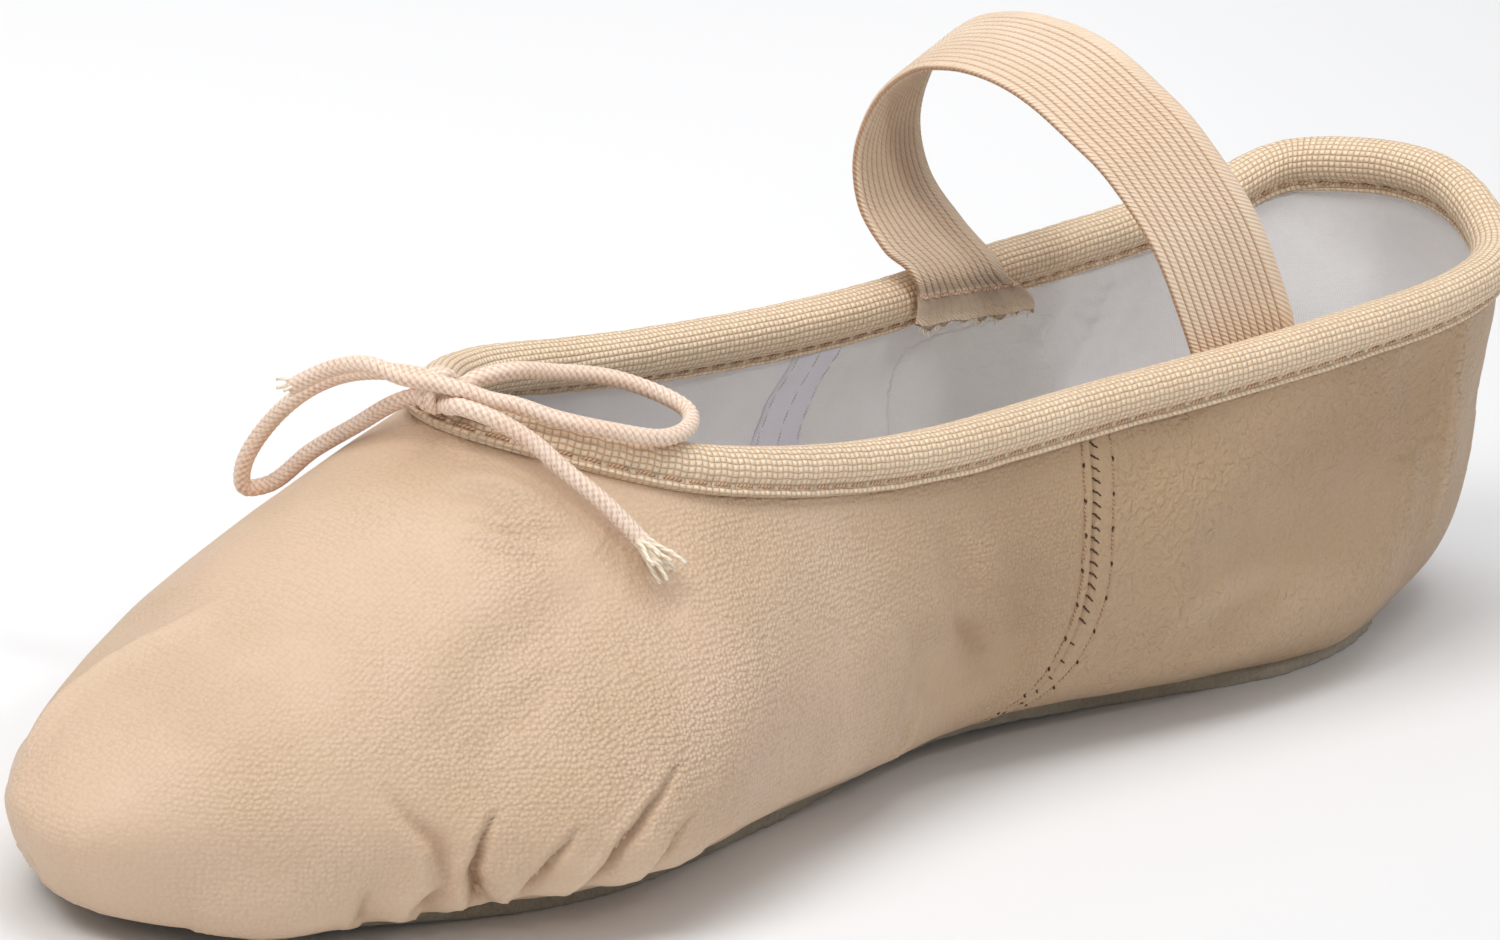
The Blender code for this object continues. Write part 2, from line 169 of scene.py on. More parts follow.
RIGHT_STRAND = (
    (60.4, -0.8, 48.6), (59.0, -1.0, 50.8), (57.8, -1.6, 53.0), (63.0, -3.2, 54.1),
    (68.5, -4.2, 53.3), (75.0, -6.4, 52.3), (79.5, -9.8, 50.8), (80.9, -13.4, 49.6),
    (78.1, -16.3, 49.0), (72.9, -17.2, 48.9), (67.1, -14.7, 50.0), (62.7, -10.8, 50.9),
    (59.6, -7.6, 52.0), (57.4, -5.4, 52.4), (55.4, -3.4, 53.2), (53.6, -0.8, 53.6),
    (51.9, 2.2, 53.6), (50.6, 6.6, 54.0), (50.0, 11.2, 52.2), (49.4, 16.0, 48.9),
)
KNOT = (55.4, 0.2, 52.3)


def vec(*values):
    return np.array(values, dtype=float)


def unit(v):
    return v / np.maximum(np.linalg.norm(v, axis=-1, keepdims=True), 1e-9)


def smooth(x, low, high):
    t = np.clip((x - low) / (high - low), 0, 1)
    return t * t * (3 - 2 * t)


def run_of(line):
    """Distance gone along a line at each of its points."""
    return np.concatenate([[0], np.cumsum(np.linalg.norm(np.diff(line, axis=0), axis=1))])


def along(run, line, at):
    """The places on a line, or the values there, at given distances along it."""
    return np.stack([np.interp(at, run, line[:, c]) for c in range(3)], -1)


def cubic(knots, values, at):
    last = len(knots) - 2
    i = min(max(sum(k <= at for k in knots) - 1, 0), last)

    def slope(k):
        a, b = max(k - 1, 0), min(k + 1, len(knots) - 1)
        return (values[b] - values[a]) / (knots[b] - knots[a])

    span = knots[i + 1] - knots[i]
    t = (at - knots[i]) / span
    return (values[i] * (2 * t**3 - 3 * t**2 + 1) + slope(i) * (span * (t**3 - 2 * t**2 + t))
            + values[i + 1] * (3 * t**2 - 2 * t**3) + slope(i + 1) * (span * (t**3 - t**2)))


def outline_point(rows, start, length, width, height, angle):
    knots, across, heights = [], [], []
    for row in rows:
        knots.append(acos(1 - 2 * row.along))
        across.append(-row.inner * width)
        heights.append(row.height * height)
    for row in rows[-2:0:-1]:
        knots.append(2 * pi - acos(1 - 2 * row.along))
        across.append(row.outer * width)
        heights.append((row.height + row.lift) * height)
    knots = [k - 2 * pi for k in knots[-2:]] + knots + [2 * pi + k for k in knots[:3]]
    across = across[-2:] + across + across[:3]
    heights = heights[-2:] + heights + heights[:3]
    angle %= 2 * pi
    x = start + length * (1 - cos(angle)) / 2
    return vec(x, cubic(knots, across, angle), cubic(knots, heights, angle))


def sole_lift(x):
    s = (x - SOLE_START) / SOLE_LENGTH
    knots = (-0.1, 0.0, 0.18, 0.30, 0.45, 0.60, 0.74, 1.1)
    lifts = (1.4, 1.0, 0.08, 0.0, 0.0, 1.0, 0.0, 0.0)
    scale = TOE_SPRING if s < 0.38 else ARCH_LIFT
    return max(0.0, cubic(knots, lifts, s)) * scale


def sole_point(angle, inset, level):
    share = 1 - 2 * inset / SOLE_WIDTH
    p = outline_point(SOLE_OUTLINE, SOLE_START + inset, SOLE_LENGTH - 2 * inset,
                      SOLE_WIDTH * share, 0, angle)
    p[2] = sole_lift(p[0]) + level
    return p


def bend(column, share):
    knots = [row.along for row in WALL_BENDS]
    return cubic(knots, [getattr(row, column) for row in WALL_BENDS], share)


def collar_point(angle):
    return outline_point(COLLAR_EDGE, THROAT, OPENING_LENGTH, OPENING_WIDTH,
                         COLLAR_HEIGHT, angle - 0.3 * sin(angle))


def wall_curve(angle):
    share = (1 - cos(angle)) / 2
    widest = outline_point(WIDEST_LINE, 0, LENGTH, UPPER_WIDTH, BULGE_HEIGHT, angle)
    edge = collar_point(angle)
    ahead = unit(collar_point(angle + 0.02) - collar_point(angle - 0.02))
    level_out = unit(np.cross(ahead, vec(0, 0, 1)))
    slope = radians(bend("slope", share))
    up = vec(0, 0, 1) * sin(slope) - level_out * cos(slope)
    low = widest + vec(0, 0, COLLAR_HEIGHT * bend("low", share))
    high = edge - up * COLLAR_HEIGHT * bend("high", share)
    return widest, low, high, edge


def bezier(handles, t):
    a, b, c, d = handles
    t = np.atleast_1d(t)[:, None]
    s = 1 - t
    return a * s**3 + b * (3 * s * s * t) + c * (3 * s * t * t) + d * t**3


def spoke(angle, flange, lower, wall):
    """Outer face of the upper at one angle, at three sets of shares."""
    level = OUTSOLE_THICKNESS + GAP
    inner_edge = sole_point(angle, FLANGE, level)
    feather = sole_point(angle, 0, level)
    handles = wall_curve(angle)
    widest = handles[0]
    out = (widest - feather) * 0.6
    out[2] = -LEATHER_SAG * cubic(SAG_AT, SAG, (1 - cos(angle)) / 2)
    fall = vec(0, 0, (widest[2] - feather[2]) * 0.6)
    turned_in = inner_edge + (feather - inner_edge) * flange[:, None]
    return np.vstack([turned_in, bezier((feather, feather + out, widest - fall, widest), lower),
                      bezier(handles, wall)])


def in_frame(points):
    return (np.asarray(points, dtype=float) - vec(LENGTH / 2, 0, 0)) * MM


def link(name, data):
    obj = bpy.data.objects.new(name, data)
    bpy.context.scene.collection.objects.link(obj)
    return obj


class Piece:
    """Grids of points in millimetres, gathered into one mesh with a map of lengths on it."""

    def __init__(self):
        self.points, self.faces, self.lay = [], [], []
        self.marks, self.grains = [], []
        self.count = 0

    def grid(self, points, around=False, closed=False, mark=0.0, grain=0.0, caps=False):
        """`around` joins the last row to the first, `closed` the last column to the first."""
        rows, columns = points.shape[:2]
        i, j = np.meshgrid(np.arange(rows - (not around)), np.arange(columns - (not closed)),
                           indexing="ij")
        ci = np.stack([i, i + 1, i + 1, i], -1).reshape(-1, 4)
        cj = np.stack([j, j, j + 1, j + 1], -1).reshape(-1, 4)
        lay = lengths_of(points, around, closed)
        self.faces += (self.count + (ci % rows) * columns + cj % columns).tolist()
        self.lay.append(lay[ci, cj].reshape(-1, 2))
        self.points.append(points.reshape(-1, 3))
        self.marks.append(np.broadcast_to(mark, (rows, columns)).reshape(-1))
        self.grains.append(np.broadcast_to(grain, (rows, columns)).reshape(-1))
        first = self.count
        self.count += rows * columns
        if caps:
            self.cap(points[0], first)
            self.cap(points[-1], first + (rows - 1) * columns)

    def cap(self, ring, first):
        """Closes a tube's end ring with a fan."""
        self.points.append(ring.mean(axis=0)[None])
        self.marks.append(np.zeros(1))
        self.grains.append(np.zeros(1))
        for j in range(len(ring)):
            self.faces.append([first + j, first + (j + 1) % len(ring), self.count])
            self.lay.append(np.zeros((3, 2)))
        self.count += 1

    def tube(self, path, radius, sides):
        self.grid(tube_rings(path, radius, sides), closed=True, caps=True)

    def flat_caps(self, rows, columns):
        """Closes both ends of the last grid, a flat strip whose columns run over and back."""
        for first in (self.count - rows * columns, self.count - columns):
            for j in range(columns // 2 - 1):
                self.faces.append([first + j, first + j + 1, first + columns - 2 - j,
                                   first + columns - 1 - j])
                self.lay.append(np.zeros((4, 2)))

    def make(self, name, material, slot, replaces=()):
        mesh = bpy.data.meshes.new(name)
        mesh.from_pydata(in_frame(np.concatenate(self.points)).tolist(), [], self.faces)
        layer = mesh.uv_layers.new(name="lay")
        layer.data.foreach_set("uv", np.concatenate(self.lay).astype(np.float32).ravel())
        for label, values in (("mark", self.marks), ("grain", self.grains)):
            layer = mesh.attributes.new(label, "FLOAT", "POINT")
            layer.data.foreach_set("value", np.concatenate(values).astype(np.float32))
        bm = bmesh.new()
        bm.from_mesh(mesh)
        bmesh.ops.recalc_face_normals(bm, faces=bm.faces)
        bm.to_mesh(mesh)
        bm.free()
        mesh.shade_smooth()
        mesh.materials.append(material)
        obj = link(name, mesh)
        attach(obj, "root")
        for node in replaces:
            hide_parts(node)
        return obj


def lengths_of(points, around, closed):
    """Distance along the rows and along the columns at each point of a grid, one more past a
    joined end."""
    wide = np.concatenate([points, points[:1]]) if around else points
    wide = np.concatenate([wide, wide[:, :1]], axis=1) if closed else wide
    along = np.zeros(wide.shape[:2])
    across = np.zeros(wide.shape[:2])
    steps = np.linalg.norm(np.diff(wide, axis=0), axis=2).mean(axis=1)
    along[1:] = np.cumsum(steps)[:, None]
    across[:, 1:] = np.cumsum(np.linalg.norm(np.diff(wide, axis=1), axis=2), axis=1)
    return np.stack([along, across], -1)


def normals_of(points):
    """Unit normals of a grid whose rows go round, rows crossed with columns."""
    rows = np.roll(points, -1, 0) - np.roll(points, 1, 0)
    return unit(np.cross(rows, np.gradient(points, axis=1)))


def roughly(points, size, seed=0.0):
    """Smooth noise from -1 to 1 that changes over `size` millimetres."""
    flat = np.asarray(points).reshape(-1, 3) / size + vec(seed, 1.7 * seed, -seed)
    values = np.array([noise.noise(Vector(p)) for p in flat])
    return values.reshape(np.asarray(points).shape[:-1])


def uneven(points, waves):
    """How far a surface swells, from the depth, the size and the seed of each of the waves."""
    return sum(depth * roughly(points, size, seed) for depth, size, seed in waves)


def route(points, step):
    """Evenly spaced points on one smooth curve through the given ones."""
    knots = [vec(*p) for p in points]
    gone = run_of(np.array(knots))
    fine = np.array([cubic(list(gone), knots, s) for s in np.linspace(0, gone[-1], 400)])
    run = run_of(fine)
    count = max(2, round(run[-1] / step)) + 1
    return along(run, fine, np.linspace(0, run[-1], count))


def tube_rings(path, radius, sides):
    """Rings round a path. `radius` is one number, one for each ring or one for each point."""
    ahead = unit(np.gradient(path, axis=0))
    side = np.zeros_like(path)
    start = vec(0, 0, 1)
    for k, t in enumerate(ahead):
        s = start - t * start.dot(t)
        start = side[k] = s / np.linalg.norm(s)
    other = np.cross(ahead, side)
    a = np.linspace(0, 2 * pi, sides, endpoint=False)[None, :, None]
    radius = np.asarray(radius, dtype=float)
    if radius.ndim < 2:
        radius = radius.reshape(-1, 1)
    return path[:, None] + radius[..., None] * (np.cos(a) * side[:, None]
                                                + np.sin(a) * other[:, None])


class Paint:
    """A material's node tree, put together with short calls."""

    def __init__(self, name):
        self.material = bpy.data.materials.new(name)
        self.material.use_nodes = True
        self.tree = self.material.node_tree
        self.shader = self.tree.nodes["Principled BSDF"]
        self.where = self.add("ShaderNodeTexCoord").outputs["Object"]
        self.lay = self.add("ShaderNodeUVMap", uv_map="lay").outputs[0]

    def add(self, kind, inputs=None, **settings):
        node = self.tree.nodes.new(kind)
        for key, value in settings.items():
            setattr(node, key, value)
        for key, value in (inputs or {}).items():
            self.set(node.inputs[key], value)
        return node

    def set(self, socket, value):
        if isinstance(value, bpy.types.NodeSocket):
            self.tree.links.new(value, socket)
        else:
            socket.default_value = value

    def math(self, operation, a, b=0.0, c=0.0):
        return self.add("ShaderNodeMath", {0: a, 1: b, 2: c}, operation=operation).outputs[0]

    def noise(self, size, detail=2.0, rough=0.5):
        """Noise over `size` millimetres on the object."""
        return self.add("ShaderNodeTexNoise", {"Vector": self.where, "Scale": 1000.0 / size,
                                               "Detail": detail, "Roughness": rough}).outputs["Fac"]

    def split(self, vector):
        node = self.add("ShaderNodeSeparateXYZ", {0: vector})
        return node.outputs[0], node.outputs[1]

    def mark(self, name="mark"):
        return self.add("ShaderNodeAttribute", attribute_name=name).outputs["Fac"]

    def ramp(self, fac, *stops):
        node = self.add("ShaderNodeValToRGB", {"Fac": fac})
        ramp = node.color_ramp
        while len(ramp.elements) < len(stops):
            ramp.elements.new(0.5)
        for element, (at, colour) in zip(ramp.elements, stops):
            element.position = at
            element.color = (*colour, 1)
        return node.outputs["Color"]

    def mix(self, fac, a, b, blend="MIX"):
        node = self.add("ShaderNodeMix", data_type="RGBA", blend_type=blend)
        self.set(node.inputs[0], fac)
        self.set(node.inputs[6], a if isinstance(a, bpy.types.NodeSocket) else (*a, 1))
        self.set(node.inputs[7], b if isinstance(b, bpy.types.NodeSocket) else (*b, 1))
        return node.outputs[2]

    def span(self, value, low, high, to_low, to_high):
        return self.add("ShaderNodeMapRange", {"Value": value, "From Min": low, "From Max": high,
                                               "To Min": to_low, "To Max": to_high}).outputs[0]

    def clouds(self, size, detail, rough, low, high):
        """Two colours that drift into each other over `size` millimetres."""
        return self.ramp(self.noise(size, detail, rough), (0.3, rgb(*low)), (0.7, rgb(*high)))

    def tint(self, value, low, high, to_low, to_high, base, colour):
        """Colours the base by how far `value` is from `low` to `high`."""
        return self.mix(self.span(value, low, high, to_low, to_high), base, rgb(*colour))

    def twist(self, pitch):
        """Slanting strands on the map, 0 between them to 1 on them."""
        u, v = self.split(self.lay)
        wave = self.math("SINE", self.math("ADD", self.math("MULTIPLY", u, 2 * pi / pitch),
                                           self.math("MULTIPLY", v, 2 * pi / TWIST_WIDTH)))
        return self.math("MULTIPLY_ADD", wave, 0.5, 0.5)

    def weave(self, pitch_along, pitch_across):
        """Plain weave on the map: height from 0 to 1, and 1 where the one thread is on top."""
        u, v = self.split(self.lay)
        over = self.math("MULTIPLY", self.math("SINE", self.math("MULTIPLY", u, pi / pitch_along)),
                         self.math("SINE", self.math("MULTIPLY", v, pi / pitch_across)))
        height = self.math("POWER", self.math("ABSOLUTE", over), 0.5)
        return height, self.math("GREATER_THAN", over, 0.0)

    def finish(self, colour, rough, bumps, **constants):
        """`rough` is a texture and the roughness at its low and high, and each bump is a height
        and the millimetres by which it raises the surface where it is 1."""
        fuzz, low, high = rough
        inputs = {"Strength": 1.0}
        for height, depth in bumps:
            bump = self.add("ShaderNodeBump", {"Height": height, "Distance": depth * MM, **inputs})
            inputs["Normal"] = bump.outputs[0]
        self.set(self.shader.inputs["Base Color"], colour)
        self.set(self.shader.inputs["Roughness"], self.span(fuzz, 0.3, 0.7, low, high))
        self.set(self.shader.inputs["Normal"], inputs["Normal"])
        for key, value in constants.items():
            self.shader.inputs[key.replace("_", " ")].default_value = value
        return self.material

    def cloth(self, colour, rough, bumps, specular, sheen, sheen_rough):
        return self.finish(colour, rough, bumps, Specular_IOR_Level=specular, Sheen_Weight=sheen,
                           Sheen_Roughness=sheen_rough)


def rgb(r, g, b):
    """Linear colour from one that is given as it looks, 0 to 255."""
    return tuple(((c / 255 + 0.055) / 1.055) ** 2.4 for c in (r, g, b))


def leather_paint():
    """Pebbled leather. The grain attribute is 1 where the pebbles stand out, 0 where the leather
    is pulled smooth, and below nought where it shows fine creases instead."""
    p = Paint("slipper_leather")
    grain, depth = p.mark("grain"), p.mark()
    warp = p.add("ShaderNodeTexNoise", {"Vector": p.where, "Scale": WARP_SCALE, "Detail": 1.0})
    bend_by = p.add("ShaderNodeVectorMath", {0: warp.outputs["Color"], 3: WARP_BY},
                    operation="SCALE").outputs[0]
    bent = p.add("ShaderNodeVectorMath", {0: p.where, 1: bend_by}, operation="ADD").outputs[0]
    pebbles = p.add("ShaderNodeTexVoronoi", {"Vector": bent, "Scale": 1000.0 / PEBBLE,
                                             "Randomness": PEBBLE_RANDOM}).outputs["Distance"]
    creases = p.math("ABSOLUTE", p.math("SUBTRACT", p.noise(1.5, 2, 0.5), 0.5))
    blotches = p.noise(7, 3, 0.6)
    skin = p.ramp(p.noise(30, 3, 0.55), (0.30, rgb(*LEATHER_DEEP)), (0.52, rgb(*LEATHER_MAIN)),
                  (0.74, rgb(*LEATHER_PINK)))
    skin = p.tint(blotches, 0.35, 0.75, 0.0, 0.25, skin, LEATHER_DEEP)
    # Painted shade darkens the leather behind the waist.
    skin = p.tint(p.split(p.where)[0], QUARTER_SHADE_FROM, QUARTER_SHADE_TO, 0.0, 0.85, skin, LEATHER_QUARTER_SHADE)
    shown = p.math("MAXIMUM", grain, 0.15)
    # Painted highlight on the pebbles' tops and painted shade in the gaps between them.
    tops = p.math("MULTIPLY", p.span(pebbles, 0.05, 0.40, 0.22, 0.0), shown)
    skin = p.mix(tops, skin, rgb(*LEATHER_HIGHLIGHT))
    gaps = p.math("MULTIPLY", p.span(pebbles, 0.45, 0.80, 0.0, 0.34), shown)
    skin = p.mix(gaps, skin, rgb(*LEATHER_SHADE))
    # Painted shade in narrow troughs, seam grooves and soft hollows, and a painted highlight on
    # narrow ridges and a swell, from the mark.
    skin = p.tint(depth, -0.2, -1.2, 0.0, 0.60, skin, LEATHER_SHADE)
    skin = p.tint(depth, 0.2, 1.0, 0.0, 0.30, skin, LEATHER_HIGHLIGHT)
    raised = p.math("MULTIPLY", p.span(pebbles, 0.0, 0.7, 1.0, 0.0), shown)
    lines = p.math("MULTIPLY", p.span(creases, 0.0, 0.16, 0.0, 1.0),
                   p.span(grain, -0.45, 0.3, 1.0, 0.12))
    return p.finish(skin, (blotches, 0.46, 0.60),
                    [(raised, GRAIN_HEIGHT), (lines, 0.75 * GRAIN_HEIGHT)],
                    Specular_IOR_Level=0.38, Sheen_Weight=0.06, Sheen_Roughness=0.5,
                    Coat_Weight=0.03, Coat_Roughness=0.35)


def binding_paint():
    """Coarse plain weave, its threads like rows of beads with dark gaps between them."""
    p = Paint("binding_canvas")
    height, which = p.weave(0.80, 0.72)
    height = p.math("MULTIPLY", height, p.math("MULTIPLY_ADD", which, 0.35, 0.65))
    fuzz = p.noise(0.45, 3, 0.7)
    base = p.clouds(9, 3, 0.6, (238, 208, 173), (246, 220, 187))
    base = p.mix(p.math("MULTIPLY", which, 0.35), base, rgb(253, 237, 212))
    # Painted shade between the beads and a painted highlight on their tops.
    base = p.tint(height, 0.10, 0.50, 0.55, 0.0, base, (196, 152, 114))
    base = p.tint(height, 0.75, 1.0, 0.0, 0.3, base, (255, 243, 222))
    # Painted shade from the mark: at the stitches and in the fallen-in hollow and slit at the
    # throat.
    base = p.tint(p.mark(), 0.0, 1.0, 0.0, 0.9, base, (104, 70, 50))
    return p.cloth(base, (fuzz, 0.78, 0.92), [(height, 0.30), (fuzz, 0.07)], 0.2, 0.12, 0.6)


def lining_paint(name, light, warm):
    """Fine plain weave. The mark is below nought in the hollows of its wrinkles."""
    p = Paint(name)
    height = p.weave(0.30, 0.30)[0]
    fuzz = p.noise(0.8, 3, 0.7)
    base = p.clouds(22, 3, 0.55, warm, light)
    # Painted shade between the threads and in the hollows of the wrinkles.
    base = p.tint(height, 0.1, 0.7, 0.12, 0.0, base, (200, 194, 190))
    base = p.tint(p.mark(), -0.1, -0.9, 0.0, 0.25, base, (206, 200, 196))
    return p.cloth(base, (fuzz, 0.8, 0.92), [(height, 0.06), (fuzz, 0.05)], 0.2, 0.1, 0.6)


def strap_paint():
    """Ribbed elastic. The mark is the height of the ribs, and grain the flattened cut ends."""
    p = Paint("strap_elastic")
    loops = p.twist(0.62)
    fuzz = p.noise(0.5, 3, 0.7)
    base = p.clouds(14, 2, 0.5, (230, 201, 171), (238, 214, 188))
    # Painted highlight on the slanting strands.
    base = p.mix(p.math("MULTIPLY", loops, 0.30), base, rgb(246, 232, 212))
    # Painted shade in the gaps between the ribs, less on the flattened cut ends.
    gap = p.math("MULTIPLY", p.span(p.mark(), 0.15, 0.75, 0.85, 0.0),
                 p.span(p.mark("grain"), 0.0, 1.0, 1.0, 0.15))
    base = p.mix(gap, base, rgb(184, 140, 106))
    return p.cloth(base, (fuzz, 0.7, 0.85), [(loops, 0.12), (fuzz, 0.06)], 0.25, 0.15, 0.5)


def thread_paint(name, light, dark, pitch=0.5):
    p = Paint(name)
    strands = p.twist(pitch)
    fuzz = p.noise(0.5, 3, 0.7)
    # The dark colour is painted shade in the grooves between the strands, and also a random fuzz
    # tone.
    base = p.mix(strands, rgb(*dark), rgb(*light))
    base = p.tint(fuzz, 0.3, 0.7, 0.0, 0.25, base, dark)
    return p.cloth(base, (fuzz, 0.6, 0.8), [(strands, 0.08)], 0.3, 0.1, 0.5)


def cord_paint():
    """Braid. The mark is the height of its strands."""
    p = Paint("drawstring_braid")
    fuzz = p.noise(0.4, 3, 0.7)
    base = p.clouds(7, 2, 0.5, (242, 216, 194), (249, 230, 212))
    # Painted shade between the plaits and a painted highlight on their tops.
    base = p.tint(p.mark(), 0.15, 0.75, 0.70, 0.0, base, (184, 136, 110))
    base = p.tint(p.mark(), 0.75, 1.0, 0.0, 0.5, base, (252, 240, 226))
    return p.cloth(base, (fuzz, 0.5, 0.7), [(fuzz, 0.05)], 0.3, 0.15, 0.5)


def suede_paint():
    p = Paint("outsole_suede")
    nap = p.noise(0.7, 4, 0.75)
    base = p.clouds(12, 4, 0.6, (128, 114, 94), (160, 146, 124))
    base = p.tint(nap, 0.3, 0.7, 0.0, 0.6, base, (184, 172, 150))
    return p.cloth(base, (nap, 0.85, 0.97), [(nap, 0.25)], 0.15, 0.3, 0.7)


def insole_paint():
    """Plain weave laid out on the object, since the CAD's face has no map."""
    p = Paint("insole_cotton")
    x, y = (p.math("SINE", p.math("MULTIPLY", c, pi / INSOLE_WEAVE)) for c in p.split(p.where))
    height = p.math("ABSOLUTE", p.math("MULTIPLY", x, y))
    base = p.clouds(18, 3, 0.6, (238, 234, 228), (247, 245, 242))
    # Painted shade between the threads.
    base = p.tint(height, 0.0, 0.5, 0.25, 0.0, base, (176, 168, 158))
    return p.cloth(base, (p.noise(18, 3, 0.6), 0.8, 0.9), [(height, 0.12)], 0.2, 0.1, 0.6)


def floor_paint():
    p = Paint("studio_floor")
    faint = p.noise(400)
    base = p.ramp(faint, (0.3, (0.83, 0.83, 0.835)), (0.7, (0.85, 0.85, 0.855)))
    return p.finish(base, (faint, 0.78, 0.84), [(faint, 0.01)], Specular_IOR_Level=0.2)


def make_camera():
    a, e, roll = (radians(d) for d in (CAMERA_AZIMUTH, CAMERA_ELEVATION, CAMERA_ROLL))
    back = Vector((sin(a) * cos(e), -cos(a) * cos(e), sin(e)))
    right = Vector((cos(a), sin(a), 0))
    up = back.cross(right)
    right_rolled = right * cos(roll) + up * sin(roll)
    up_rolled = up * cos(roll) - right * sin(roll)
    data = bpy.data.cameras.new("photo_camera")
    data.lens = CAMERA_LENS
    data.sensor_width = 36
    data.clip_start = 0.05
    data.clip_end = 20
    camera = link("photo_camera", data)
    turn = Matrix((right_rolled, up_rolled, back)).transposed().to_4x4()
    target = Vector(in_frame(CAMERA_TARGET))
    camera.matrix_world = Matrix.Translation(target + back * CAMERA_DISTANCE * MM) @ turn
    bpy.context.scene.camera = camera


make_camera()

LEATHER = leather_paint()
CANVAS = binding_paint()
COTTON = lining_paint("white_cotton", (250, 249, 250), (243, 240, 240))
LABEL = lining_paint("label_satin", (248, 247, 246), (242, 241, 240))
TAPE = lining_paint("seam_tape_cotton", (243, 239, 249), (234, 230, 241))
ELASTIC = strap_paint()
BRAID = cord_paint()
THREAD = thread_paint("beige_thread", (226, 196, 164), (170, 128, 96))
DARK_THREAD = thread_paint("brown_thread", (104, 70, 50), (56, 34, 24))
SEAM_THREAD = thread_paint("seam_thread", (212, 178, 148), (150, 112, 84))
PINK_THREAD = thread_paint("pink_thread", (240, 208, 184), (196, 150, 122))
WHITE_THREAD = thread_paint("white_thread", (250, 248, 246), (224, 220, 216))
FRAY = thread_paint("frayed_cotton", (252, 244, 228), (236, 218, 192), 1.2)
SUEDE = suede_paint()
INSOLE = insole_paint()


STRAND_STEP = 0.22
STRAND_SIDES = 20
PLAITS = 6                   # strands that run each way round the cord
PLAIT_PITCH = 5.2            # length in which one of them goes once round


def braid(name, points, replaces, thickness=CORD):
    """A braided cord through the given points, and its path. The mark is how high each place on
    it stands, 0 to 1."""
    path = route(points, STRAND_STEP)
    around = np.linspace(0, 2 * pi, STRAND_SIDES, endpoint=False)
    s, a = np.meshgrid(run_of(path), around, indexing="ij")
    one = np.sin(PLAITS / 2 * (a + 2 * pi * s / PLAIT_PITCH))
    other = np.sin(PLAITS / 2 * (a - 2 * pi * s / PLAIT_PITCH))
    height = np.abs(one * other) ** 0.5
    piece = Piece()
    piece.grid(tube_rings(path, thickness / 2 * (0.86 + 0.20 * height), STRAND_SIDES),
               closed=True, caps=True, mark=height)
    return piece.make(name, BRAID, "drawstring_cotton", replaces), path


FRAY_TURN = 2.4              # round the cord from one loose thread to the next
FRAY_SPREAD = (1.25, 0.55)   # to the sides and upwards
FRAY_STEP = 0.35


def make_fray(name, cord, spread, length, count, thick, seed):
    """Loose threads that fan out of a cord's end."""
    piece = Piece()
    tip, back = vec(*cord[-1]), vec(*cord[-2])
    ahead = unit(tip - back)
    side = unit(np.cross(ahead, vec(0.2, 0.1, 1)))
    over = np.cross(side, ahead)
    for k in range(count):
        turn = FRAY_TURN * k + seed
        away = ((k + 0.5) / count) ** 0.5
        aside, rise = side * cos(turn), over * sin(turn)
        start = tip - ahead * 1.0 + (aside + rise) * CORD * 0.36 * away
        lean = (aside * FRAY_SPREAD[0] + rise * FRAY_SPREAD[1]) * spread * away
        reach = ahead * length * (0.72 + 0.28 * sin(7.3 * k + seed))
        kink = (side * sin(3.1 * k) + over * cos(1.9 * k)) * 0.18
        line = route([start, start + reach * 0.35 + lean * 0.25,
                      start + reach * 0.7 + lean * 0.65 + kink, start + reach + lean * 1.05],
                     FRAY_STEP)
        piece.tube(line, np.linspace(thick, 0.75 * thick, len(line)), 7)
    return piece.make(name, FRAY, "drawstring_cotton")


WRAP_CORD = 1.35             # the cord is pulled thin where it is wound round the knot
WRAP_TURNS = 2.15
WRAP_WIDTH = 2.3             # of the wound part along the bow
WRAP_RADII = (1.65, 2.0)     # along the shoe and upwards


def knot_wrap():
    """The turns of cord that hold the bow, round the strands at its middle."""
    points = []
    for share in np.linspace(0, 1, 49):
        a = 2 * pi * WRAP_TURNS * share - 0.4
        points.append((KNOT[0] + WRAP_RADII[0] * cos(a), KNOT[1] + WRAP_WIDTH * (share - 0.5) + 0.2,
                       KNOT[2] - 0.2 + WRAP_RADII[1] * sin(a)))
    return braid("drawstring_turns", points, ["drawstring_knot"], WRAP_CORD)[0]


def make_bow():
    left_fray = make_fray("left_cord_fray", RIGHT_STRAND, 1.2, 2.4, 7, 0.24, 0.4)
    right_fray = make_fray("right_cord_fray", LEFT_STRAND, 2.5, 5.6, 16, 0.30, 1.3)
    turns = knot_wrap()
    for name, strand, nodes, held in (
            ("drawstring_left", LEFT_STRAND, ["drawstring_left_loop", "drawstring_right_end"],
             [right_fray, turns]),
            ("drawstring_right", RIGHT_STRAND, ["drawstring_right_loop", "drawstring_left_end"],
             [left_fray])):
        cord, line = braid(name, strand, nodes)


make_bow()


AROUND = 610
FLANGE_ROWS = 5
LOWER_ROWS = 34
WALL_ROWS = 96
BALL_ANGLE = 0.93            # of the pleats on the inner side, where the spokes stand closer
SEAM_ANGLE = 1.79            # of the side seam, and the same on the outer side
LEATHER_THICKNESS = 0.7
LINING_OUTER = 0.8           # from the leather's outer face
LEATHER_BACK_ROWS = 16
FLOOR_CLEARANCE = 0.2

Fold = namedtuple("Fold", "points width depth lip held", defaults=(0, 0))
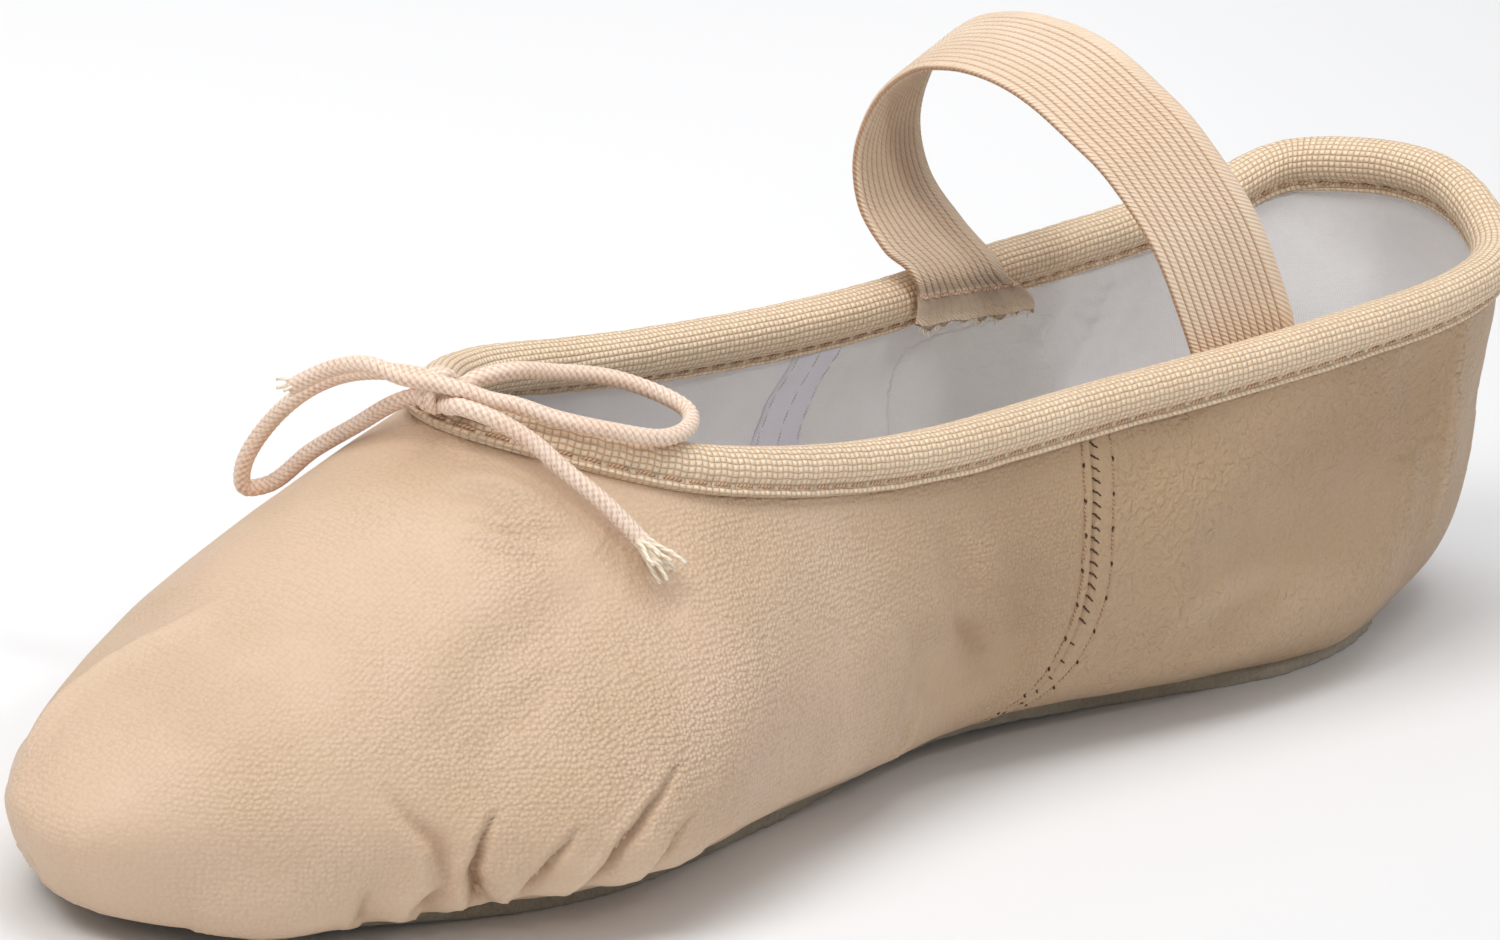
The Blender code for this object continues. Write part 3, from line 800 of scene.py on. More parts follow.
# held 0 fades out at both ends, 1 is full at its first point. Depth is out of the leather, so
# a trough is below nought, and lip raises a ridge beside it, on the left if it is above nought.
FOLDS = (
    # Toe: the ridge from the tip up to the vamp, and the hollow on its outer side.
    Fold(((4, 8, 14), (12, 11.5, 19.5), (19, 10, 24.5), (24, 7, 28), (30, 5, 31)), 1.2, 1.1, -0.6),
    Fold(((9, 17, 16), (16, 17.5, 20), (24, 15, 26), (32, 13, 31)), 4.0, -0.7),
    Fold(((10, -13, 5), (18, -18, 4.5), (28, -23, 5)), 4.6, 1.5),
    Fold(((4, -5, 6), (2, 1, 7), (3, 8, 7)), 4.5, -1.0),
    Fold(((1.5, 2, 5), (3, 8, 5), (7, 13, 6)), 3.6, -1.3),
    Fold(((2, 2, 12.5), (3, 6, 13), (6, 11, 14)), 2.2, 0.5),
    # Along the ball and the waist the leather is drawn in over the sole's edge.
    Fold(((36, -26, 4), (46, -31, 5), (56, -33, 5), (66, -34.5, 6), (77, -32, 6), (90, -27, 5),
          (102, -24.5, 5), (113, -22.5, 5)), 5.0, -1.5),
    # Pleats where the leather turns in under the ball.
    Fold(((27, -22, 4), (26.5, -22.5, 7), (27, -22.5, 9)), 0.9, -0.9, 0.4, 1),
    Fold(((33, -26, 4), (34, -27.5, 8), (33, -27, 12), (30, -26, 16), (27, -23.5, 20)), 1.4, -1.2,
         0.7, 1),
    Fold(((38.5, -29, 4), (36.5, -29.5, 8), (36.3, -29.5, 11), (37.5, -29.3, 14), (39, -29, 17)),
         0.8, -2.3, 0.4, 1),
    Fold(((42, -31.5, 5), (42.5, -32.5, 8), (44, -33.5, 11), (47, -34.5, 15)), 0.75, -1.6, 0.3, 1),
    Fold(((48.5, -34.5, 6), (50, -36, 10), (53, -37, 14), (57, -37.3, 18), (60, -37, 21)), 0.85,
         -1.7, 0.5, 1),
    Fold(((56, -37, 8), (58, -38, 11.5), (61, -38, 15)), 0.75, -1.2, 0.3, 1),
    Fold(((66, -37.5, 8), (68.5, -38, 11), (71, -37.5, 14)), 1.0, -0.6, 0.2, 1),
    # The leather puffs out between them.
    Fold(((30, -24, 4), (30, -25, 7), (30, -25, 10)), 2.6, 0.5, 0, 1),
    Fold(((36, -28, 4), (34.5, -28, 8), (33.5, -28, 12)), 2.1, 0.8, 0, 1),
    Fold(((41, -30.5, 4.5), (40, -31, 8), (40.5, -31.5, 12)), 2.0, 0.9, 0, 1),
    Fold(((45.5, -33.5, 5), (46.5, -34.5, 8), (48.5, -35.5, 12)), 2.4, 0.9, 0, 1),
    Fold(((53, -36, 6), (54.5, -37, 10), (57, -37.5, 14)), 2.6, 0.8, 0, 1),
    Fold(((61.5, -37.5, 7), (64, -38, 11)), 2.6, 0.4, 0, 1),
    # Waist.
    Fold(((104, -27, 25), (109, -27, 20), (114, -26, 16), (118, -25, 12)), 2.8, -0.5, 0.4),
    Fold(((101, -27, 27), (105, -27, 22), (110, -27, 17)), 2.6, 0.5),
    Fold(((115, -23, 33), (118, -24, 28), (119.5, -25, 23), (122, -25, 19), (127, -24, 13)), 2.8,
         -0.8, 0.5, 0),
    Fold(((117, -25, 23), (119, -25, 21.5), (122, -25, 19.5), (127, -25, 14.5)), 1.3, -0.55, 0.4),
    Fold(((109, -25, 6), (111, -26, 10), (114, -26, 15)), 1.1, 0.9),
    Fold(((106, -27, 14), (120, -25.5, 14), (134, -25, 15)), 7.0, -2.2),
    Fold(((122, -24, 31), (124.5, -24.5, 24), (129, -24.5, 18)), 3.6, 0.7),
    # Heel: the sharp ridge beside its back, the hollow of the quarter and the low crease.
    Fold(((210, -20, 44), (210.5, -20.5, 36), (210.5, -21, 28), (210, -21, 20), (209, -21, 11)),
         0.8, 1.5, -0.6, 0),
    Fold(((203, -20, 42), (202.5, -21, 33), (202, -22, 24)), 5.5, -1.3),
    Fold(((156, -24, 20), (172, -24, 21), (186, -23, 22), (202, -21, 23)), 7.0, -2.8),
    Fold(((158, -22, 36), (174, -21.5, 37), (190, -20, 38)), 5.0, 0.8),
    Fold(((160, -24, 9), (178, -24, 10), (194, -23, 10), (206, -20, 10)), 4.5, 1.3),
    Fold(((154, -25, 10), (162, -26, 12), (169, -26, 13), (178, -25.5, 15)), 2.4, -0.6, 0.3),
    Fold(((149, -23, 27), (157, -24, 30), (166, -24, 31)), 6.0, 0.4),
    Fold(((196, -22, 3.5), (208, -20, 3.5), (217, -15, 3.5), (222, -7, 3.5)), 6.0, -0.7),
    Fold(((224, -12, 22), (228, -6, 22), (229, 0, 22), (228, 7, 22)), 8.0, -1.3),
    # Throat.
    Fold(((50, -4, 43.5), (54, -10, 42), (57, -15, 40.5), (61, -18, 39.5)), 1.7, -0.6, 0.4),
    Fold(((49, -7, 42), (53, -12, 40.5), (57, -17, 38.5)), 0.9, -0.4, 0.3),
    Fold(((48, -10, 40.3), (52, -15, 38.6), (56, -18, 37.4)), 0.8, -0.3, 0.25),
    Fold(((52, -5, 44), (56, -10, 42.6), (60, -14, 41.6)), 0.8, -0.3, 0.25),
    Fold(((63, -18, 38.5), (67, -22, 35), (70, -25, 31)), 3.6, -0.8),
    # Long soft lines across the vamp.
    Fold(((34, -23, 21), (41, -22.5, 27), (50, -22, 32), (60, -22, 36)), 3.4, -0.5, 0.3),
    Fold(((38, -25, 20), (45, -25, 25), (53, -25, 29)), 2.2, -0.3, 0.2),
    Fold(((76, -30, 27), (88, -30, 26), (98, -28, 27)), 6.0, -0.5),
)
# The side seams: the joint, and the row of stitches on either side of it.
INNER_SEAM = ((143, -20, 39), (142.5, -22, 33), (141.5, -24, 27), (141, -24.5, 21),
              (139.5, -24.5, 16), (137, -23.5, 11), (133, -22, 6), (129.5, -20.5, 2.5))
OUTER_SEAM = ((143, 21, 38.5), (142.5, 24, 33), (142, 26.5, 27), (141.5, 28, 21),
              (140, 28, 15), (137.5, 27, 10), (134, 25.5, 6), (130.5, 24, 2.5))
# Painted shade on soft hollows and a painted highlight on a swell of the inner side: x, z, their
# reaches, and how light they are.
HOLLOW_SHADE_AND_SWELL_HIGHLIGHT = ((190, 31, 24, 9, -0.60), (126, 22, 11, 9, -0.50), (176, 13, 22, 5, 0.55))
# Narrow folds get painted shade in their troughs and a painted highlight on their ridges.
BROAD_FOLD = 2.7             # a fold of this width or more is neither darker nor lighter
FOLD_REACH = 4.5             # nothing moves further than this many widths from a fold
LIP_AT, LIP_WIDTH = 1.7, 1.1  # of the ridge beside a fold, in its widths
LEATHER_WAVES = ((0.36, 19, 3.0), (0.13, 7, 8.0))
# How many more spokes there are, and over how many radians.
BALL_CROWD = (1.5, 0.32)
SEAM_CROWD = (2.5, 0.07)
# Painted shade in the pressed grooves of the side seams.
SEAM_SHADE = 2.6             # how much darker the leather is for each millimetre pressed in
STITCHED_TOE_SIDE = 1.5      # from the joint to a row of stitches
STITCHED_HEEL_SIDE = 3.3
# The grooves along a side seam: from the joint, how deep and how wide.
SEAM_GROOVES = ((0.0, 0.34, 0.32), (-STITCHED_TOE_SIDE, 0.26, 0.28),
                (STITCHED_HEEL_SIDE, 0.24, 0.28), (-0.75, -0.16, 0.5))


def press(points, normals, folds):
    """How far each point of the leather moves along its normal for the folds, and how much of
    that is for the narrow ones."""
    flat, across = points.reshape(-1, 3), normals.reshape(-1, 3)
    tree = KDTree(len(flat))
    for k, p in enumerate(flat):
        tree.insert(Vector(p), k)
    tree.balance()
    moved, creased = np.zeros(len(flat)), np.zeros(len(flat))
    for fold in folds:
        line = np.array([flat[tree.find(Vector(p))[1]] for p in route(fold.points, 0.8)])
        line[1:-1] = (line[:-2] + line[1:-1] * 2 + line[2:]) / 4
        ahead = unit(np.gradient(line, axis=0))
        reach = FOLD_REACH * fold.width
        near = np.flatnonzero(((flat > line.min(0) - reach) & (flat < line.max(0) + reach)).all(1))
        apart = flat[near][:, None] - line[None]
        gap = np.linalg.norm(apart, axis=2)
        k = gap.argmin(axis=1)
        best = gap[np.arange(len(near)), k]
        left = np.cross(across[near], ahead[k])
        side = np.sign((left * apart[np.arange(len(near)), k]).sum(axis=1))
        share = k / (len(line) - 1)
        fade = np.cos(share * pi / 2) ** 0.8 if fold.held else np.sin(share * pi) ** 0.7
        width = fold.width * (0.55 + 0.45 * fade)
        shape = fold.depth * np.exp(-(best / width) ** 2)
        signed = best * side * (1 if fold.lip >= 0 else -1)
        beyond = (signed - LIP_AT * width) / (LIP_WIDTH * width)
        shape += abs(fold.lip) * np.exp(-beyond ** 2)
        moved[near] += shape * fade
        if fold.width < BROAD_FOLD:
            creased[near] += shape * fade
    return moved.reshape(points.shape[:2]), creased.reshape(points.shape[:2])


def spoke_angles():
    """Angles of the spokes, closer together at the pleats and at the side seams."""
    a = np.linspace(0, 2 * pi, 4000)
    dense = np.ones_like(a)
    for middle, (more, wide) in ((BALL_ANGLE, BALL_CROWD), (SEAM_ANGLE, SEAM_CROWD),
                                 (2 * pi - SEAM_ANGLE, SEAM_CROWD)):
        dense += more * np.exp(-((a - middle) / wide) ** 2)
    run = np.concatenate([[0], np.cumsum((dense[1:] + dense[:-1]) / 2)])
    return np.interp(np.linspace(0, run[-1], AROUND, endpoint=False), run, a)


def seam_strip(points):
    """For each point: 1 in the pressed strip along the side seams, how deep it is pressed in
    there, and 1 behind the joints."""
    strip, press_in, behind = (np.zeros(points.shape[:2]) for _ in range(3))
    for line in (INNER_SEAM, OUTER_SEAM):
        line = route(line, 1.0)
        same = np.sign(points[..., 1]) == np.sign(line[0, 1])
        order = np.argsort(line[:, 2])
        joint = np.interp(points[..., 2], line[order, 2], line[order, 0])
        across = points[..., 0] - joint
        inside = (smooth(across, -STITCHED_TOE_SIDE - 0.5, -STITCHED_TOE_SIDE)
                  * (1 - smooth(across, STITCHED_HEEL_SIDE, STITCHED_HEEL_SIDE + 0.5))) * same
        strip = np.maximum(strip, inside)
        behind = np.maximum(behind, same * smooth(across, -0.3, 0.6))
        for at, deep, wide in SEAM_GROOVES:
            press_in += same * deep * np.exp(-((across - at) / wide) ** 2)
    return strip, press_in, behind


def grain_map(points, moved, strip, behind):
    """Where the pebbles show: all over the inner side of the ball, less on the vamp and toe."""
    x, y, z = points[..., 0], points[..., 1], points[..., 2]
    ball = np.exp(-((x - 66) / 40) ** 2 - ((z - 22) / 13) ** 2) * (y < 0)
    side = 0.75 * smooth(-y, 12, 24) * smooth(x, 40, 80) * (1 - smooth(x, 136, 150))
    vamp = 0.35 + 0.2 * roughly(points, 14, 2.0)
    throat = 0.9 * np.exp(-((x - 54) / 8) ** 2 - ((y + 14) / 6) ** 2) * (z > 25)
    grain = np.maximum.reduce([ball, side, vamp, throat])
    grain = grain * (1 - 0.85 * smooth(6 - z, -2, 3) * (x > 20))
    grain = (grain + 0.18 * roughly(points, 9, 6.0)) * (1 - strip)
    grain = grain * (1 - behind) - (0.45 - 0.3 * strip) * behind
    return grain * (1 - 0.8 * smooth(-moved, 0.5, 1.3))


def free_rows(count, held, free, bound):
    """0 in the rows of the turned-in flange and under the binding, where nothing moves, and 1
    between them."""
    row = np.arange(count)
    return (smooth(row, held, free) * (1 - smooth(row, count - bound, count - 3)))[None]


def build_upper():
    flange = np.linspace(0, 1, FLANGE_ROWS, endpoint=False)
    lower = np.linspace(0, 1, LOWER_ROWS, endpoint=False)
    wall = np.linspace(0, 1, WALL_ROWS + 1)
    base = np.array([spoke(a, flange, lower, wall) for a in spoke_angles()])
    normals = -normals_of(base)
    if normals[AROUND // 4, FLANGE_ROWS + LOWER_ROWS + 20, 1] > 0:
        normals = -normals
    free = free_rows(base.shape[1], held=FLANGE_ROWS, free=FLANGE_ROWS + 6, bound=11)
    strip, press_in, behind = seam_strip(base)
    moved, creased = press(base, normals, FOLDS)
    moved += uneven(base, LEATHER_WAVES)
    moved -= press_in
    moved *= free
    # The leather's mark: painted shade in narrow troughs and pressed seam grooves, painted
    # highlight on narrow ridges.
    shade = creased * free - SEAM_SHADE * np.maximum(press_in, 0)
    # Painted shade on the inner side's soft hollows and a painted highlight on its swell.
    for x, z, reach_x, reach_z, shade_or_highlight in HOLLOW_SHADE_AND_SWELL_HIGHLIGHT:
        apart = ((base[..., 0] - x) / reach_x) ** 2 + ((base[..., 2] - z) / reach_z) ** 2
        shade += shade_or_highlight * np.exp(-apart) * (base[..., 1] < 0)
    skin = base + normals * moved[..., None]
    skin[..., 2] = np.maximum(skin[..., 2], FLOOR_CLEARANCE)
    return base, normals, moved, skin, grain_map(base, moved, strip, behind), shade


BASE, OUT, MOVED, SKIN, GRAIN, SHADE = build_upper()


def surface_of(points):
    """Search tree over a grid's faces."""
    rows, columns = points.shape[:2]
    flat = [Vector(p) for p in points.reshape(-1, 3)]
    faces = [(i * columns + j, (i + 1) % rows * columns + j, (i + 1) % rows * columns + j + 1,
              i * columns + j + 1) for i in range(rows) for j in range(columns - 1)]
    return BVHTree.FromPolygons(flat, faces)


MIDDLE_HEIGHT = 22


def on_surface(tree, points):
    """The nearest places on a surface, and the ways out of it, away from the shoe's middle."""
    spots, outs = [], []
    for p in np.asarray(points, dtype=float):
        spot, out, _, _ = tree.find_nearest(Vector(p))
        inward = Vector((0, -spot.y, MIDDLE_HEIGHT - spot.z))
        spots.append(vec(*spot))
        outs.append(vec(*out) * (-1 if out.dot(inward) > 0 else 1))
    return np.array(spots), np.array(outs)


def make_leather():
    rows = np.linspace(SKIN.shape[1] - 1, 0, LEATHER_BACK_ROWS).round().astype(int)
    back = SKIN[:, rows] - OUT[:, rows] * LEATHER_THICKNESS
    piece = Piece()
    none = np.zeros((AROUND, len(rows)))
    piece.grid(np.concatenate([SKIN, back], axis=1), around=True, closed=True,
               mark=np.concatenate([SHADE, none], axis=1),
               grain=np.concatenate([GRAIN, none], axis=1))
    return piece.make("upper_leather", LEATHER, "leather", ["upper"])


LINING_FOLDS = (
    Fold(((196, 19, 42), (194, 20, 34), (192, 21, 26), (190, 22, 18)), 1.6, 1.6),
    Fold(((203, 18, 44), (202, 19, 36), (200, 20, 28), (198, 21, 20)), 1.5, -1.2),
    Fold(((188, 20, 42), (187, 21, 34), (186, 22, 27)), 1.8, 1.0),
    Fold(((212, 16, 44), (212, 17, 36), (211, 18, 28)), 1.5, 1.4),
    Fold(((160, 20, 40), (161, 21, 33), (160, 22, 25)), 2.4, 0.6),
    Fold(((152, 20, 38), (153, 21, 30), (152, 22, 22)), 2.0, -0.5),
    Fold(((126, 20, 36), (128, 22, 28), (127, 23, 20)), 2.2, 0.5),
    Fold(((104, 20, 37), (106, 23, 30), (106, 25, 22)), 2.6, 0.6),
    Fold(((92, -20, 38), (93, -24, 30), (93, -28, 22)), 2.6, 0.6),
    Fold(((165, -20, 40), (166, -21, 32), (166, -22, 22)), 2.4, 0.7),
    Fold(((190, -20, 42), (191, -21, 32), (190, -22, 22)), 2.2, -0.7),
)
LINING_STEP = 2              # of the leather's grid
LINING_RANGE = (-0.25, 2.0)  # of its wrinkles
LINING_WAVES = ((0.35, 12, 21.0), (0.15, 4.0, 5.0))


def make_lining():
    """White cotton inside the leather. Its folds stand into the shoe."""
    base, normals, moved = (grid[::LINING_STEP, ::LINING_STEP] for grid in (BASE, OUT, MOVED))
    ripple, _ = press(base, normals, LINING_FOLDS)
    ripple += uneven(base, LINING_WAVES)
    ripple = np.clip(ripple, *LINING_RANGE) * free_rows(base.shape[1], held=4, free=9, bound=8)
    # Where the leather is pleated the lining keeps behind the deepest of its neighbourhood.
    for axis in (0, 1):
        moved = np.minimum.reduce([np.roll(moved, k, axis) for k in (-2, -1, 0, 1, 2)])
    inside = base + normals * (moved - WALL - ripple)[..., None]
    behind = base + normals * (moved - LINING_OUTER)[..., None]
    rows = np.linspace(base.shape[1] - 1, 0, LEATHER_BACK_ROWS).round().astype(int)
    piece = Piece()
    mark = np.concatenate([ripple, np.zeros((len(base), len(rows)))], axis=1)
    piece.grid(np.concatenate([inside, behind[:, rows]], axis=1), around=True, closed=True,
               mark=mark)
    piece.make("lining_cotton", COTTON, "insole_cotton")
    return surface_of(inside)


def lay_patch(piece, tree, line, reach, lift, face, columns=14):
    """A thin strip of cloth on a surface, from one `reach` to the other along X beside a line.
    `face` is 1 on the outside of the shoe and -1 inside it."""
    share = np.linspace(0, 1, columns)
    top, under = [], []
    for p in route(line, 0.6):
        p = p + vec(1, 0, 0) * (reach[0] + (reach[1] - reach[0]) * share)[:, None]
        spots, outs = on_surface(tree, p)
        top.append(spots + outs * face * lift)
        under.append((spots - outs * face * 0.1)[::-1])
    top, under = np.array(top), np.array(under)
    # The rim is rounded down onto the surface.
    for rim in (0, -1):
        top[rim] = (top[rim] + under[rim][::-1]) / 2
        top[:, rim] = (top[:, rim] + under[:, -1 - rim]) / 2
    piece.grid(np.concatenate([top, under], axis=1), closed=True)
    piece.flat_caps(len(top), 2 * columns)


Sewing = namedtuple("Sewing", "pitch length radius sunk slant phase", defaults=((0, 0, 0), 0.5))
WHIPPING_HIGH = Sewing(1.35, 0, 0.12, 0.05, (1.0, 0, -0.85))
WHIPPING_LOW = Sewing(2.3, 0, 0.11, 0.05, (0.7, 0, -0.5))
SEAM_ROW = Sewing(4.0, 3.3, 0.12, 0.10)
SEAM_DOTS = Sewing(4.0, 0, 0.15, 0.06, (0.05, 0, -0.45), 0.05)
TAPE_ROW = Sewing(3.2, 2.3, 0.11, -0.24)
TAPE_LIFT = 0.24
TAPE_REACH = 4.2
TAPE_ROWS_AT = (-3.5, 0.0, 3.5)
LABEL_LIFT = 0.07


def sew(piece, tree, line, sewing, face):
    """Stitches that run along a line on a surface, or across it by their slant."""
    pitch, length, radius, sunk, slant, phase = sewing
    line = route(line, 0.25)
    run = run_of(line)
    for n in range(int(run[-1] / pitch)):
        middle = (n + phase) * pitch
        at = np.linspace(middle - length / 2, middle + length / 2, 6)
        points = along(run, line, at) + vec(*slant) * np.linspace(-0.15, 1, 6)[:, None]
        spots, outs = on_surface(tree, points)
        spots = spots - outs * face * sunk
        stitch(piece, spots, radius, radius * 0.9, outs * face)


def stitch(piece, path, radius, lift, out):
    """One stitch: a thread that rises out of the cloth and dives back into it."""
    share = np.linspace(0, 1, len(path))
    path = path + out * (lift * np.sin(share * pi) ** 0.6 - 0.25 * radius)[:, None]
    piece.tube(path, radius * (0.72 + 0.28 * np.sin(share * pi) ** 0.5), 6)


def beside(line, dx):
    return [(x + dx, y, z) for x, y, z in line]


def make_seams(skin):
    """Both side seams on the leather: a row of dark whip stitches and two fine rows beside it."""
    for name, line in (("inner_seam", INNER_SEAM), ("outer_seam", OUTER_SEAM)):
        dark, light = Piece(), Piece()
        sew(dark, skin, line[:5], WHIPPING_HIGH, 1)
        sew(dark, skin, line[4:], WHIPPING_LOW, 1)
        for dx in (-STITCHED_TOE_SIDE, STITCHED_HEEL_SIDE):
            row = beside(line, dx)
            sew(light, skin, row, SEAM_ROW, 1)
            sew(dark, skin, row, SEAM_DOTS, 1)
        dark.make(name + "_whipping", DARK_THREAD, "leather")
        light.make(name + "_stitches", SEAM_THREAD, "leather")


INNER_TAPE = ((143, -19, 37), (142.5, -21, 31), (141.5, -22.5, 25), (140.5, -23, 19),
              (138.5, -22.5, 12))
OUTER_TAPE = ((141.5, 20, 37), (142, 23, 31), (143, 25, 25), (144, 26.5, 19), (144.5, 27, 12))
LABEL_LINE = ((172.3, 19, 32), (174, 21, 27), (176.5, 22, 21), (179, 22, 15))
LABEL_REACH = (-13, 13.5)


def make_tapes(inside):
    """Cotton tapes over the side seams and the blank care label, all on the lining."""
    tapes, threads = Piece(), Piece()
    for line in (INNER_TAPE, OUTER_TAPE):
        lay_patch(tapes, inside, line, (-TAPE_REACH, TAPE_REACH), TAPE_LIFT, -1)
        for dx in TAPE_ROWS_AT:
            sew(threads, inside, beside(line, dx), TAPE_ROW, -1)
    tapes.make("seam_tapes", TAPE, "insole_cotton")
    label = Piece()
    lay_patch(label, inside, LABEL_LINE, LABEL_REACH, LABEL_LIFT, -1, 36)
    label.make("care_label_blank", LABEL, "insole_cotton")
    threads.make("tape_stitches", WHITE_THREAD, "insole_cotton")


make_leather()
make_seams(surface_of(SKIN[:, FLANGE_ROWS:]))
make_tapes(make_lining())


COLLAR_STEPS = 1000
STITCH_PITCH = 3.0
STITCH_LENGTH = 2.1
STITCH_RADIUS = 0.24
STITCH_SUNK = 0.30
STITCH_LINE = 0.78           # of the binding's drop


WALL_TOP = 0.7               # share of the wall's curve above which the binding lies
BINDING_INSIDE = -WALL - GAP
STITCH_LEVEL = -STITCH_LINE * BINDING_DROP
DROPS = np.linspace(0, 1.3 * BINDING_DROP, 9)


def wall_frames():
    """For each step round the collar and each drop below it: point, way up and way out."""
    t = np.linspace(1.0, WALL_TOP, 121)
    curves = [bezier(wall_curve(2 * pi * k / COLLAR_STEPS), t) for k in range(COLLAR_STEPS)]
    points, ups, outs = [], [], []
    for k, line in enumerate(curves):
        run = run_of(line)
        up = unit(-np.gradient(line, axis=0))
        ahead = unit(curves[(k + 1) % COLLAR_STEPS] - curves[k - 1])
        points.append(along(run, line, DROPS))
        ups.append(along(run, up, DROPS))
        outs.append(along(run, unit(np.cross(ahead, up)), DROPS))
    return np.array(points), unit(np.array(ups)), unit(np.array(outs))


def binding_outline():
    """Cross-section of the binding as (out, up) from the leather's edge, outside first."""
    inside, cloth, roll, drop = BINDING_INSIDE, BINDING_CLOTH, BINDING_ROLL, -BINDING_DROP
    outer = (
        (GAP + 0.75 * cloth, drop), (GAP + cloth, 0.93 * drop), (GAP + cloth, 0.78 * drop),
        (0.78 * roll, 0.62 * drop), (roll, 0.40 * drop), (1.02 * roll, 0.16 * drop),
        (0.80 * roll, 0.22 * roll), (0.36 * roll, 0.58 * roll), (-0.15 * roll, 0.68 * roll),
        (inside + 0.02 * roll, 0.60 * roll), (inside - 0.52 * roll, 0.24 * roll),
        (inside - 0.80 * roll, 0.12 * drop), (inside - 0.86 * roll, 0.34 * drop),
        (inside - 0.66 * roll, 0.58 * drop), (inside - cloth, 0.78 * drop),
        (inside - cloth, 0.93 * drop), (inside - 0.75 * cloth, drop),
    )
    line = route([(a, b, 0) for a, b in outer], 0.42)[:, :2]
    slot_walls = ((inside, drop), (inside, 0.5 * drop), (inside, 0), (inside / 2, 0.12),
                  (0.12, 0), (0.12, 0.5 * drop), (0.12, drop))
    return np.vstack([line, np.array(slot_walls)]), len(line)


EDGE_POINTS, EDGE_UPS, EDGE_OUTS = wall_frames()
EDGE_RUN = run_of(np.concatenate([EDGE_POINTS[:, 0], EDGE_POINTS[:1, 0]]))


def at_collar(k, away, rise):
    """Point `away` out of the leather and `rise` above its edge, at a step round the collar."""
    drop = max(-rise, 0)
    i = min(int(drop / DROPS[1]), len(DROPS) - 2)
    f = drop / DROPS[1] - i
    point = EDGE_POINTS[k, i] * (1 - f) + EDGE_POINTS[k, i + 1] * f
    out = EDGE_OUTS[k, i] * (1 - f) + EDGE_OUTS[k, i + 1] * f
    up = EDGE_UPS[k, 0]
    return point + out * away + up * max(rise, 0)


THROAT_HOLLOW = (5.5, -0.8)  # half width, and where its middle stands across the shoe
THROAT_SLIT = (0.45, 1.8)
THROAT_REACH = 8             # along the shoe
# How far the stitches draw the canvas in, along their row and more at each stitch, and how far
# it puffs between them: in slow swells, in quick ones and away from the stitches.
DRAWN_IN = (0.26, 0.16)
PUFFS = (0.14, 0.10, 0.08)
EDGE_WANDER = (0.16, 0.12)


def make_binding():
    """Canvas rolled round the drawstring and stitched down. At the throat, where its two ends
    meet and the drawstring comes out, the roll is empty and falls in."""
    outline, shown = binding_outline()
    rows, marks = [], []
    for k in range(COLLAR_STEPS):
        here = EDGE_POINTS[k, 0]
        pull = 0.5 + 0.5 * cos(2 * pi * EDGE_RUN[k] / STITCH_PITCH)
        slow, quick = noise.noise(Vector(here) / 15), noise.noise(Vector(here) / 4.5)
        at_throat = here[0] < THROAT + THROAT_REACH
        hollow = at_throat * np.exp(-((here[1] - THROAT_HOLLOW[1]) / THROAT_HOLLOW[0]) ** 4)
        slit = at_throat * np.exp(-((here[1] - THROAT_SLIT[1]) / THROAT_SLIT[0]) ** 2)
        row, mark = [], []
        for j, (away, rise) in enumerate(outline):
            shade = 0.0
            if j < shown:
                outward = 1 if away > BINDING_INSIDE / 2 else -1
                near = np.exp(-((rise - STITCH_LEVEL) / 0.50) ** 2)
                away -= outward * near * (DRAWN_IN[0] + DRAWN_IN[1] * pull)
                # Painted shade in the dimples that the stitches draw in.
                shade = 0.35 * near * pull
                puff = smooth(rise, STITCH_LEVEL, 0.45 * STITCH_LEVEL)
                away += outward * puff * (PUFFS[0] * slow + PUFFS[1] * quick
                                          + PUFFS[2] * (1 - pull))
                if rise < 0.9 * STITCH_LEVEL:
                    rise += EDGE_WANDER[0] * slow + EDGE_WANDER[1] * quick
                if outward > 0:
                    sunk = np.exp(-((rise + 1.7) / 1.5) ** 4)
                    away -= sunk * (0.95 * hollow + 0.5 * slit)
                    # Painted shade in the fallen-in hollow and the slit at the throat.
                    shade = max(shade, sunk * (0.55 * hollow + 0.45 * slit))
            mark.append(shade)
            row.append(at_collar(k, away, rise))
        rows.append(row)
        marks.append(mark)
    piece = Piece()
    piece.grid(np.array(rows), around=True, closed=True, mark=np.array(marks))
    piece.make("collar_canvas", CANVAS, "binding_tape", ["collar_binding"])


def collar_stitches(name, face):
    """The row of stitches round the binding, on its outer or inner face."""
    piece = Piece()
    total = EDGE_RUN[-1]
    count = round(total / STITCH_PITCH)
    away = (GAP if face > 0 else BINDING_INSIDE) + face * (BINDING_CLOTH - STITCH_SUNK)
    for n in range(count):
        middle = (n + 0.5) * total / count
        run = np.linspace(middle - STITCH_LENGTH / 2, middle + STITCH_LENGTH / 2, 6) % total
        line, outs = [], []
        for s in np.interp(run, EDGE_RUN, np.arange(COLLAR_STEPS + 1)):
            a, b, f = int(s) % COLLAR_STEPS, (int(s) + 1) % COLLAR_STEPS, s - int(s)
            line.append(at_collar(a, away, STITCH_LEVEL) * (1 - f)
                        + at_collar(b, away, STITCH_LEVEL) * f)
            outs.append(EDGE_OUTS[a, 4] * face)
        stitch(piece, np.array(line), STITCH_RADIUS, 0.18, np.array(outs))
    piece.make(name, THREAD, "binding_tape")


make_binding()
collar_stitches("collar_stitches_outer", 1)
collar_stitches("collar_stitches_inner", -1)


RIBS = 14
RIB_COLUMNS = 6
STRAP_ROWS = 340


def collar_at(x, far):
    low, high = 0.0, pi
    for _ in range(40):
        middle = (low + high) / 2
        if collar_point(middle)[0] < x:
            low = middle
        else:
            high = middle
    return 2 * pi - low if far else low


def edge_frame(angle):
    handles = wall_curve(angle)
    up = unit(bezier(handles, 1.005)[0] - bezier(handles, 0.995)[0])
    ahead = unit(wall_curve(angle + 0.02)[3] - wall_curve(angle - 0.02)[3])
    return handles[3], unit(np.cross(ahead, up))


